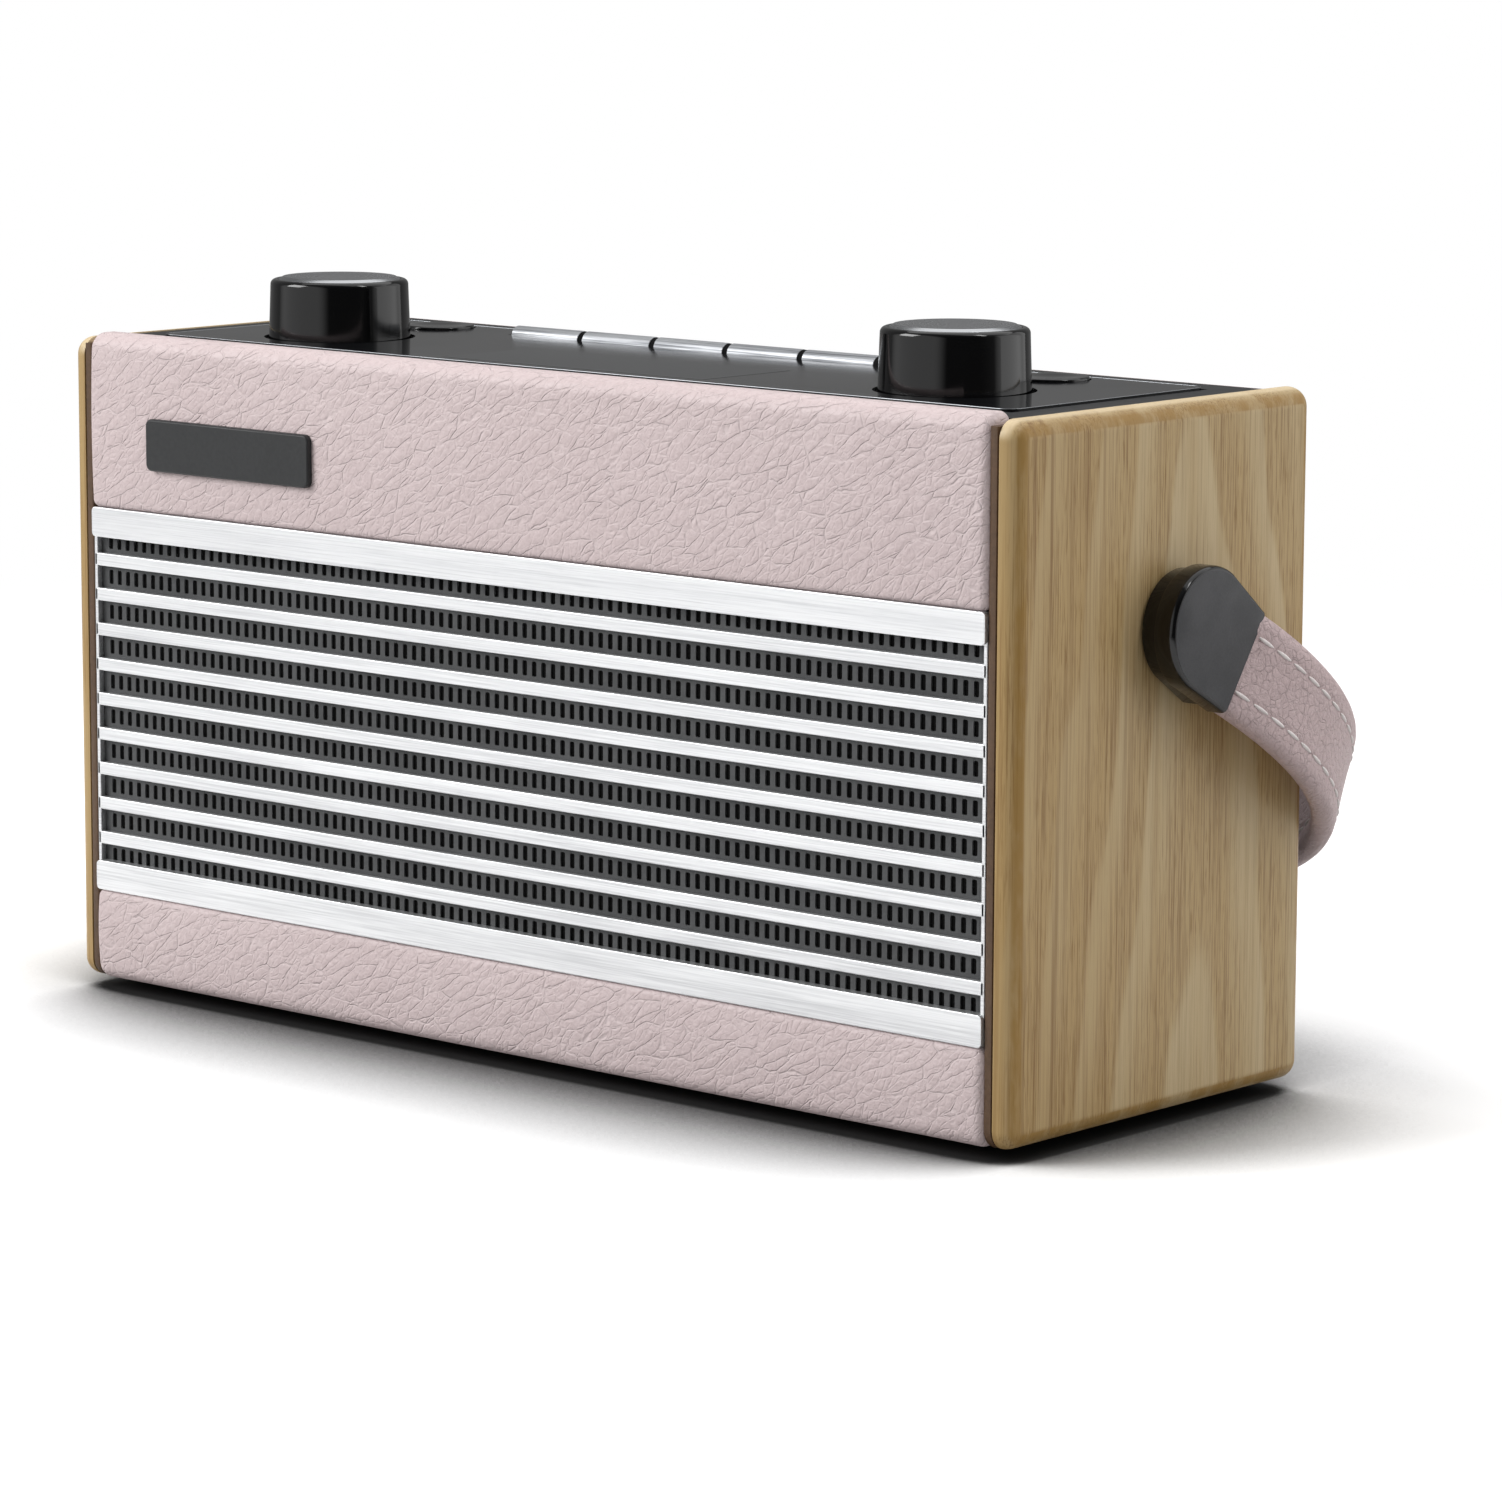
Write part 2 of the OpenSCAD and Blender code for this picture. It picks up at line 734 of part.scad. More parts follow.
// Loudspeaker basket and magnet, turned about its axis
module speaker_shape() {
    neck_r = magnet_r - basket_neck;
    rim_r = speaker_r - basket_rim;
    neck_d = speaker_d - magnet_t;
    floor_d = neck_d - basket_floor;
    rotate([-90, 0, 0])
        rotate_extrude()
            polygon([[0, speaker_d], [magnet_r, speaker_d], [magnet_r, neck_d], [neck_r, neck_d],
                     [rim_r + basket_wall / 3, basket_flange_t], [speaker_r, basket_flange_t],
                     [speaker_r, 0], [rim_r, 0], [neck_r - basket_wall, floor_d], [0, floor_d]]);
}

module left_speaker() {
    color("SlateGray") translate([-speaker_x, rail_back, grille_mid]) speaker_shape();
}

module right_speaker() {
    color("SlateGray") translate([speaker_x, rail_back, grille_mid]) speaker_shape();
}

// Paper cones with their dust caps, just clear of the baskets
module speaker_cones() {
    rim_r = speaker_r - basket_rim - cone_gap;
    throat_r = magnet_r - basket_neck - basket_wall - cone_gap;
    throat_d = speaker_d - magnet_t - basket_floor - paper;
    color("DimGray")
        for (sx = [-1, 1])
            translate([sx * speaker_x, rail_back, grille_mid])
                rotate([-90, 0, 0])
                    rotate_extrude()
                        polygon([[0, throat_d], [throat_r, throat_d], [rim_r, cone_gap],
                                 [rim_r - 4 * paper, cone_gap], [throat_r - paper, throat_d - 3 * paper],
                                 [0, throat_d - 4 * paper]]);
}

// Back cover: a plate with the battery opening, the socket cut-out and posts for the main board
module back_cover() {
    color("Black")
        difference() {
            union() {
                block([-cheek_x + deck_gap, seat_y, rear_low_z], [cheek_x - deck_gap, cover_y, rear_top_z]);
                for (sx = [-1, 1], z = [main_z + main_edge, main_z + main_h - main_edge])
                    rod_along_y(sx * (main_w / 2 - main_edge), z, post_r, seat_y - main_post, seat_y + eps);
            }
            block([-bay_w / 2, seat_y - 1, bay_z0], [bay_w / 2, cover_y + 1, bay_z1]);
            rod_along_x(hinge_y, hinge_z, trunnion_r + run_gap,
                        -bay_w / 2 - trunnion_len - 0.2, bay_w / 2 + trunnion_len + 0.2);
            block([sock_x - sock_w / 2, seat_y - 1, sock_z - sock_h / 2],
                  [sock_x + sock_w / 2, cover_y + 1, sock_z + sock_h / 2]);
            for (p = screw_spots) rod_along_y(p[0], p[1], shank_r + 0.2, seat_y - 1, cover_y + 1);
            rod_along_y(aerial_x, aerial_z, swivel_r + run_gap, seat_y - 1, cover_y + 1);
        }
}

module cover_screws() {
    color("Silver")
        for (p = screw_spots) {
            rod_along_y(p[0], p[1], shank_r, seat_y, cover_y + eps);
            translate([p[0], cover_y, p[1]])
                rotate([-90, 0, 0])
                    rotate_extrude()
                        polygon([[0, 0], [screw_r, 0], [screw_r, screw_head_t / 2],
                                 [screw_r * 0.7, screw_head_t], [0, screw_head_t]]);
        }
}

module battery_tray() {
    w = tray_wall;
    color("Black")
        difference() {
            block([-bay_w / 2 - w, seat_y - tray_d, bay_z0 - w], [bay_w / 2 + w, seat_y, bay_z1 + w]);
            block([-bay_w / 2, seat_y - tray_d + w, bay_z0], [bay_w / 2, seat_y + 1, bay_z1]);
        }
}

function bay_mid() = (bay_z0 + bay_z1) / 2;

module battery_cells() {
    nub_r = cell_r * 0.4;
    nub_len = 1.2;
    color("Goldenrod")
        for (c = cells)
            translate([0, cell_y, bay_mid() + c[1] * cell_dz]) {
                x = c[0] * cell_x;
                rod_along_x(0, 0, cell_r, x - cell_len / 2, x + cell_len / 2 - nub_len);
                rod_along_x(0, 0, nub_r, x, x + cell_len / 2);
            }
}

// Contacts: plates on the tray's ends, pressed forward into a spring bow that reaches the cell
module battery_contacts() {
    reach = bay_w / 2 - cell_x - cell_len / 2 - 0.2;
    bow = contact_w / 3;
    color("Silver")
        for (c = cells) {
            x = c[0] > 0 ? bay_w / 2 - reach : -bay_w / 2;
            z = bay_mid() + c[1] * cell_dz;
            xw = c[0] > 0 ? bay_w / 2 - contact_t : -bay_w / 2;
            block([xw, cell_y - contact_w / 2, z - contact_w / 2],
                  [xw + contact_t, cell_y + contact_w / 2, z + contact_w / 2]);
            rod_along_x(cell_y, z, bow / 2, x, x + reach);
        }
}

module battery_door() {
    grip_r = 9;
    color("Black")
        difference() {
            union() {
                block([-bay_w / 2 + door_gap, cover_y - door_t, hinge_z],
                      [bay_w / 2 - door_gap, cover_y, bay_z1 - door_gap]);
                rod_along_x(hinge_y, hinge_z, barrel_r, -bay_w / 2 + door_gap, bay_w / 2 - door_gap);
                rod_along_x(hinge_y, hinge_z, trunnion_r,
                            -bay_w / 2 - trunnion_len, bay_w / 2 + trunnion_len);
            }
            translate([0, cover_y + grip_r - 1.2, bay_z1]) rotate([0, 90, 0])
                cylinder(r = grip_r, h = 24, center = true);
        }
}

// Sockets: a flanged plate with three barrels behind it, two jacks and a power inlet
module socket_plate() {
    fit = 0.2;
    face = cover_y - 0.5;
    half_w = sock_w / 2;
    half_h = sock_h / 2;
    spots = [for (k = [-1, 0, 1]) sock_x + k * sock_pitch];
    holes = [jack_r, jack_r, inlet_r];
    color("DimGray") {
        difference() {
            union() {
                block([sock_x - half_w + fit, seat_y, sock_z - half_h + fit],
                      [sock_x + half_w - fit, face, sock_z + half_h - fit]);
                block([sock_x - half_w - sock_flange, seat_y - sock_flange_t, sock_z - half_h - sock_flange],
                      [sock_x + half_w + sock_flange, seat_y, sock_z + half_h + sock_flange]);
                for (x = spots) rod_along_y(x, sock_z, barrel_out_r, face - jack_len - 1, seat_y);
            }
            for (k = [0 : 2]) rod_along_y(spots[k], sock_z, holes[k], face - jack_len, face + 1);
        }
        rod_along_y(spots[2], sock_z, inlet_r / 3, face - jack_len - eps, face - 2);
    }
}

module pivot_stud_shape() {
    rod_along_x(pivot_y, pivot_z, stud_r, inner_x - eps, cap_x0 + web_t + stud_head_t);
    rod_along_x(pivot_y, pivot_z, stud_nut_r, inner_x - stud_nut_t, inner_x);
    rod_along_x(pivot_y, pivot_z, stud_head_r, cap_x0 + web_t + 0.1, cap_x0 + web_t + stud_head_t);
}

module pivot_studs() {
    color("Silver") both_sides() pivot_stud_shape();
}

// Pivot caps lie in the plane of the cheek, turned to the strap's rest angle about the pivot
module at_pivot() {
    translate([0, pivot_y, pivot_z]) rotate([-rest_angle, 0, 0]) children();
}

// Outline of a cap in (run, across): round about the pivot, square where the strap leaves
module cap_outline(inset) {
    r = cap_r - inset;
    circle(r);
    translate([0, -r]) square([cap_len - inset / 2, 2 * r]);
}

module tongue_slot(x0, x1) {
    half = tongue_w / 2 + tongue_gap;
    block([x0, tongue_run - tongue_gap, -half], [x1, cap_len + 1, half]);
}

module right_cap_base_shape() {
    slot_t = tongue_t / 2 + tongue_gap;
    at_pivot()
        difference() {
            along_x(cap_x0, cap_x1) cap_outline(0);
            rod_along_x(0, 0, stud_r + run_gap, cap_x0 - 1, cap_x1 + 1);
            rod_along_x(0, 0, stud_head_r + 0.3, cap_x0 + web_t, cap_x1 + 1);
            tongue_slot(cap_x1 - slot_t, cap_x1 + 1);
        }
}

module right_cap_cover_shape() {
    slot_t = tongue_t / 2 + tongue_gap;
    shoulder = 2.4;
    edge = 1.4;
    at_pivot()
        difference() {
            union() {
                along_x(cap_x1, cap_x1 + shoulder) cap_outline(0);
                hull() {
                    along_x(cap_x1 + shoulder - eps, cap_x1 + shoulder) cap_outline(0, $fn = 32);
                    along_x(cap_x2 - eps, cap_x2) cap_outline(edge, $fn = 32);
                }
            }
            tongue_slot(cap_x1 - 1, cap_x1 + slot_t);
        }
}

module right_cap_base() {
    color("Black") right_cap_base_shape();
}

module left_cap_base() {
    color("Black") mirror([1, 0, 0]) right_cap_base_shape();
}

module right_cap_cover() {
    color("Black") right_cap_cover_shape();
}

module left_cap_cover() {
    color("Black") mirror([1, 0, 0]) right_cap_cover_shape();
}

// Strap: a padded band swept from cap to cap. It bows outwards, then winds round a leaning
// axis behind the body, and the middle hangs in a shallow parabola.
lean_axis = [0, sin(bend_lean), cos(bend_lean)];
level_axis = [0, cos(bend_lean), -sin(bend_lean)];
dive = rest_angle - bend_lean;
strap_start = [strap_x, pivot_y + cap_len * cos(rest_angle), pivot_z - cap_len * sin(rest_angle)];

// Step along an arc of radius r about the leaning axis, from heading a to heading b
function arc_step(r, a, b) = [r * (cos(b) - cos(a)), 0, 0] + r * (sin(b) - sin(a)) * level_axis
    - tan(dive) * r * (b - a) * PI / 180 * lean_axis;

strap_lead = 0.3;
bow_end = strap_start + arc_step(bow_r, -bow_angle, 0);
bend_end = bow_end + arc_step(bend_r, 0, 90);
sag_k = tan(dive) / (2 * bend_end[0]);
function sag_point(x) = bend_end - [bend_end[0] - x, 0, 0]
    - sag_k * (pow(bend_end[0], 2) - x * x) * lean_axis;

bow_steps = 4;
bend_steps = 13;
sag_steps = 7;
half_path = concat(
    [for (i = [0 : bow_steps - 1])
        strap_start + arc_step(bow_r, -bow_angle, bow_angle * (i / bow_steps - 1))],
    [for (i = [0 : bend_steps - 1]) bow_end + arc_step(bend_r, 0, 90 * i / bend_steps)],
    [for (i = [0 : sag_steps]) sag_point(bend_end[0] * (1 - i / sag_steps))]);
half_count = len(half_path);
function flip(p) = [-p[0], p[1], p[2]];
strap_path = concat(half_path, [for (i = [half_count - 2 : -1 : 0]) flip(half_path[i])]);
strap_count = len(strap_path);

function unit(v) = v / norm(v);
function heading(i) = unit(strap_path[min(i + 1, strap_count - 1)] - strap_path[max(i - 1, 0)]);
function across(t) = unit(lean_axis - (lean_axis * t) * t);

// Section of the strap: corners rounded in three steps, drawn across and through the band
function band(w, t, r) = [for (q = [[1, 1, 0], [-1, 1, 90], [-1, -1, 180], [1, -1, 270]], k = [0 : 3])
    [q[0] * (w / 2 - r) + r * cos(q[2] + 30 * k), q[1] * (t / 2 - r) + r * sin(q[2] + 30 * k)]];
function ring(p, a, n, shape) = [for (s = shape) p + s[0] * a + s[1] * n];

rest_run = [0, cos(rest_angle), -sin(rest_angle)];
rest_across = [0, sin(rest_angle), cos(rest_angle)];
strap_band = band(strap_w, strap_t, strap_t * 0.45);
tongue_band = band(tongue_w, tongue_t, 0.4);
tongue_rings = [for (run = [tongue_run, cap_len + 0.1])
    ring([cap_x1, pivot_y, pivot_z] + run * rest_run, rest_across, [1, 0, 0], tongue_band)];
square_end = ring(strap_start + strap_lead * rest_run, rest_across, [1, 0, 0], strap_band);
body_rings = [for (i = [1 : strap_count - 2])
    let (t = heading(i), a = across(t)) ring(strap_path[i], a, cross(a, t), strap_band)];
function flip_ring(g) = [for (k = [0 : len(g) - 1]) flip(g[k])];
strap_rings = concat(tongue_rings, [square_end],  body_rings,
    [flip_ring(square_end)], [flip_ring(tongue_rings[1]), flip_ring(tongue_rings[0])]);

function loft_faces(rings, m) = concat(
    [[for (k = [m - 1 : -1 : 0]) k]],
    [for (i = [0 : rings - 2], k = [0 : m - 1])
        let (j = (k + 1) % m, a = i * m, b = a + m) each [[a + j, b + k, a + k], [a + j, b + j, b + k]]],
    [[for (k = [0 : m - 1]) (rings - 1) * m + k]]);

module strap() {
    m = len(strap_band);
    color("MistyRose")
        polyhedron(points = [for (g = strap_rings, p = g) p], faces = loft_faces(len(strap_rings), m));
}

// Knob: a tapered cup with a rounded top edge, a seat for its disc and a hub for the shaft
module knob_shape() {
    z0 = -knob_sink;
    roof = knob_h - disc_t - 2;
    taper = (knob_r - knob_top_r) / (knob_h + knob_sink);
    shoulder_r = knob_top_r + taper * knob_round;
    difference() {
        union() {
            difference() {
                rotate_extrude()
                    polygon([[0, z0], [knob_r, z0], [shoulder_r, knob_h - knob_round],
                             [shoulder_r - knob_round, knob_h - knob_round], [0, knob_h - knob_round]]);
                translate([0, 0, z0 - 1])
                    cylinder(r1 = knob_r - knob_wall, r2 = knob_top_r - knob_wall, h = roof - z0 + 1);
            }
            rotate_extrude()
                union() {
                    translate([shoulder_r - knob_round, knob_h - knob_round])
                        intersection() {
                            circle(knob_round);
                            square(knob_round + 1);
                        }
                    translate([0, knob_h - knob_round - eps])
                        square([shoulder_r - knob_round, knob_round + eps]);
                }
            cylinder(r = hub_r, h = roof + eps);
        }
        translate([0, 0, knob_h - disc_t]) cylinder(r = disc_r + 0.1, h = disc_t + 1);
        translate([0, 0, -1]) cylinder(r = shaft_r + run_gap, h = roof - 1 + 1);
    }
}

module at_knob(side) {
    translate([side * knob_x, knob_y, deck_z]) children();
}

module left_knob() {
    color("Black") at_knob(-1) knob_shape();
}

module right_knob() {
    color("Black") at_knob(1) knob_shape();
}

// Turned disc with a low bevel round its rim
module disc_shape() {
    bevel = 0.4;
    translate([0, 0, knob_h - disc_t])
        rotate_extrude()
            polygon([[0, 0], [disc_r, 0], [disc_r, disc_t], [disc_r - bevel, disc_t + bevel / 2],
                     [0, disc_t + bevel / 2]]);
}

module left_knob_disc() {
    color("Silver") at_knob(-1) disc_shape();
}

module right_knob_disc() {
    color("Silver") at_knob(1) disc_shape();
}

module shaft_shape(side) {
    rod_along_z(side * knob_x, knob_y, shaft_r, encoder_floor + push_travel + shaft_gap, bore_top - 1);
}

module left_shaft() {
    color("Silver") shaft_shape(-1);
}

module right_shaft() {
    color("Silver") shaft_shape(1);
}

// Collar that carries the right shaft's push, held between the encoder and the deck
module right_push_collar() {
    z0 = encoder_top + push_travel + 0.1;
    color("White")
        difference() {
            rod_along_z(knob_x, knob_y, collar_r, z0, z0 + collar_t);
            rod_along_z(knob_x, knob_y, shaft_r + run_gap, z0 - 1, z0 + collar_t + 1);
        }
}

// Bar key: a half-round bar on a blade, with a flange that stops it under the deck
module bar_key(i) {
    x = key_x(i);
    foot_z = deck_z - bar_sink;
    color("Silver") {
        along_x(x - bar_len / 2, x + bar_len / 2)
            translate([bar_y, foot_z])
                intersection() {
                    circle(bar_r);
                    translate([-bar_r, 0]) square([2 * bar_r, bar_r]);
                }
        block([x - blade_len / 2, bar_y - blade_t / 2, stem_z],
              [x + blade_len / 2, bar_y + blade_t / 2, foot_z + eps]);
        block([x - blade_len / 2, bar_y - blade_t / 2 - flange_w, stem_z],
              [x + blade_len / 2, bar_y + blade_t / 2 + flange_w, stem_z + flange_t]);
    }
}

module bar_key_1() {
    bar_key(0);
}

module bar_key_2() {
    bar_key(1);
}

module bar_key_3() {
    bar_key(2);
}

module bar_key_4() {
    bar_key(3);
}

module bar_key_5() {
    bar_key(4);
}

module bar_key_6() {
    bar_key(5);
}

module round_key(side) {
    dish = 0.3;
    edge = 0.5;
    top = deck_z + round_rise;
    color("Black")
        translate([side * round_x, round_y, 0])
            rotate_extrude()
                polygon([[0, stem_z], [round_r + flange_w, stem_z], [round_r + flange_w, stem_z + flange_t],
                         [round_r, stem_z + flange_t], [round_r, top - edge], [round_r - edge, top],
                         [round_r - 3 * edge, top], [round_r - 5 * edge, top - dish], [0, top - dish]]);
}

module left_round_key() {
    round_key(-1);
}

module right_round_key() {
    round_key(1);
}

// Aerial: a bracket on the cover, a swivel with a fork, a tilting tube and two drawn sections
module aerial_bracket() {
    half_w = bracket_w / 2;
    half_h = bracket_h / 2;
    r = bracket_r;
    color("Black")
        difference() {
            along_y(cover_y, cover_y + bracket_t)
                soft_rect([aerial_x - half_w, aerial_z - half_h], [aerial_x + half_w, aerial_z + half_h],
                          [r, r, r, r]);
            rod_along_y(aerial_x, aerial_z, swivel_r + run_gap, cover_y - 1, cover_y + bracket_t + 1);
        }
}

module aerial_saddle() {
    rest_gap = 0.4;
    rest_z = aerial_z - tube_r - rest_gap;
    color("Black")
        along_x(saddle_x, saddle_x + saddle_w)
            soft_rect([cover_y, rest_z - saddle_h], [aerial_y + tube_r, rest_z], [0, 1.5, 1, 0]);
}

module aerial_swivel() {
    ear_z = eye_h / 2 + ear_gap;
    ear_end = ear_z + ear_t;
    ear_mid = ear_z + ear_t / 2;
    color("Silver")
        difference() {
            union() {
                rod_along_y(aerial_x, aerial_z, swivel_r, seat_y - 1.5, fork_y + eps);
                rod_along_y(aerial_x, aerial_z, swivel_r + 1.5, seat_y - 1.5, seat_y - 0.3);
                rod_along_y(aerial_x, aerial_z, ear_z + ear_t, fork_y, fork_y + fork_web);
                for (s = [-1, 1])
                    intersection() {
                        union() {
                            rod_along_z(aerial_x, aerial_y, tube_r, aerial_z - ear_end, aerial_z + ear_end);
                            block([aerial_x - tube_r, fork_y, aerial_z - ear_end],
                                  [aerial_x + tube_r, aerial_y, aerial_z + ear_end]);
                        }
                        block([aerial_x - 10, fork_y, aerial_z + s * ear_mid - ear_t / 2],
                              [aerial_x + 10, aerial_y + 10, aerial_z + s * ear_mid + ear_t / 2]);
                    }
            }
            rod_along_z(aerial_x, aerial_y, pin_r + run_gap, aerial_z - 10, aerial_z + 10);
        }
}

module aerial_pin() {
    reach = eye_h / 2 + ear_gap + ear_t;
    color("Silver") rod_along_z(aerial_x, aerial_y, pin_r, aerial_z - reach, aerial_z + reach);
}

module aerial_tube() {
    color("Silver")
        difference() {
            union() {
                rod_along_z(aerial_x, aerial_y, tube_r - 0.3, aerial_z - eye_h / 2, aerial_z + eye_h / 2);
                block([aerial_x, aerial_y - eye_h / 2, aerial_z - eye_h / 2],
                      [tube_x0 + 1, aerial_y + eye_h / 2, aerial_z + eye_h / 2]);
                rod_along_x(aerial_y, aerial_z, tube_r, tube_x0, tube_x0 + tube_len);
            }
            rod_along_z(aerial_x, aerial_y, pin_r + run_gap, aerial_z - 10, aerial_z + 10);
            rod_along_x(aerial_y, aerial_z, mid_r + run_gap, tube_x0 + 3, tube_x0 + tube_len + 1);
        }
}

module aerial_middle() {
    x0 = tube_x0 + 4;
    x1 = tube_x0 + tube_len + tube_stick;
    color("Silver")
        difference() {
            rod_along_x(aerial_y, aerial_z, mid_r, x0, x1);
            rod_along_x(aerial_y, aerial_z, tip_r + run_gap, x0 + 3, x1 + 1);
        }
}

module aerial_tip() {
    x0 = tube_x0 + 8;
    x1 = tube_x0 + tube_len + 2 * tube_stick;
    end_len = 5;
    end_r = tube_r - 0.5;
    color("Silver") {
        rod_along_x(aerial_y, aerial_z, tip_r, x0, x1 + eps);
        translate([x1, aerial_y, aerial_z])
            rotate([0, 90, 0])
                rotate_extrude()
                    polygon([[0, 0], [end_r, 0], [end_r, end_len - 1], [end_r - 1, end_len], [0, end_len]]);
    }
}

left_cheek();
right_cheek();
left_end_board();
right_end_board();
base_board();
feet();
front_top_rail();
front_bottom_rail();
rear_top_rail();
rear_bottom_rail();
baffle();
grille_screen();
grille_shutter();
grille_slats();
badge_plate();
top_panel();
gloss_plate();
display_module();
button_board();
tact_switches();
encoders();
main_board();
left_speaker();
right_speaker();
speaker_cones();
back_cover();
battery_tray();
battery_cells();
battery_contacts();
socket_plate();
cover_screws();
battery_door();
pivot_studs();
left_cap_base();
left_cap_cover();
right_cap_base();
right_cap_cover();
strap();
left_knob();
left_knob_disc();
left_shaft();
right_knob();
right_knob_disc();
right_shaft();
right_push_collar();
bar_key_1();
bar_key_2();
bar_key_3();
bar_key_4();
bar_key_5();
bar_key_6();
left_round_key();
right_round_key();
aerial_bracket();
aerial_saddle();
aerial_swivel();
aerial_pin();
aerial_tube();
aerial_middle();
aerial_tip();
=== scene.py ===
"""Looks of a portable radio: leathercloth rails, ash cheeks, slatted grille, gloss deck and strap handle.

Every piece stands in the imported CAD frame, in metres, and rides on one of its bodies.
"""

import json
import logging
import math
from dataclasses import dataclass
from enum import Enum
from typing import Callable, Sequence

import bmesh
import bpy
from mathutils import Euler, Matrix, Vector

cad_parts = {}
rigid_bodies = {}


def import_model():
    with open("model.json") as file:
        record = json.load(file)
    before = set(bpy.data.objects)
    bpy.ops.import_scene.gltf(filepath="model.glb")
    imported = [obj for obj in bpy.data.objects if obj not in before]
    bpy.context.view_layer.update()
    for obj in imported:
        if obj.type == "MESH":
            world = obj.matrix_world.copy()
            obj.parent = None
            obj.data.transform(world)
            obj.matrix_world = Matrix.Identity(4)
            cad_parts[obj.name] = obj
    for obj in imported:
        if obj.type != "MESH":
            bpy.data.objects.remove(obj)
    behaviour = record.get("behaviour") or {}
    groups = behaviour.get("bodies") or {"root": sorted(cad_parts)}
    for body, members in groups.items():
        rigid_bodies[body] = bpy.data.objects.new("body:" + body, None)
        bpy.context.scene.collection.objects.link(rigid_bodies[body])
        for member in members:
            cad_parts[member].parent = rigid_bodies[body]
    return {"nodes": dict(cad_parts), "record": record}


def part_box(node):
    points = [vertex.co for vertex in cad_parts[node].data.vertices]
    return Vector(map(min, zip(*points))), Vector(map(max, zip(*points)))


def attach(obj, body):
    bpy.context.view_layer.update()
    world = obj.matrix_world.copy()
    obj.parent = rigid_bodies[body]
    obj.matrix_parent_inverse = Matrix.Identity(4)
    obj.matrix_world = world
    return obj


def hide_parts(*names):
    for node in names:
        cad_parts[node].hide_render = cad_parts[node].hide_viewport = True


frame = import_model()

LOG = logging.getLogger("radio")
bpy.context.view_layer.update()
MM = 0.001
TOUCH = 1e-6
WELD = 1e-7
TINY = 1e-9
LEDGE_DROP = 3.7 * MM

Rgb = tuple[float, float, float]
Place = tuple[float, float, float]
Flat = tuple[float, float]
Box = tuple[Vector, Vector]
Spot = tuple[Vector, Vector, Vector]
Socket = bpy.types.NodeSocket
Piece = bpy.types.Object


def linear(shade: Rgb) -> tuple[float, float, float, float]:
    """Turns a colour written as 0 to 255 on a screen into Blender's linear colour.

    Args:
        shade: Red, green and blue from 0 to 255.

    Returns:
        Linear red, green, blue and an alpha of 1.
    """
    parts = []
    for value in shade:
        part = value / 255
        parts.append(part / 12.92 if part <= 0.04045 else ((part + 0.055) / 1.055) ** 2.4)
    return parts[0], parts[1], parts[2], 1.0


class Axis(Enum):
    """A direction of the frame."""

    X = Vector((1, 0, 0))
    Y = Vector((0, 1, 0))
    Z = Vector((0, 0, 1))


class Slot(Enum):
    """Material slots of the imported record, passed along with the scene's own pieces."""

    ASH = "ash_wood"
    BROWN = "dark_wood"
    LEATHER = "pink_leather"
    GLOSS = "black_gloss"
    MATTE = "black_matte"
    ALUMINIUM = "bright_aluminium"
    MESH = "dark_mesh"
    SILVER = "silver"
    CHROME = "chrome"
    RUBBER = "rubber"
    DISPLAY = "display"


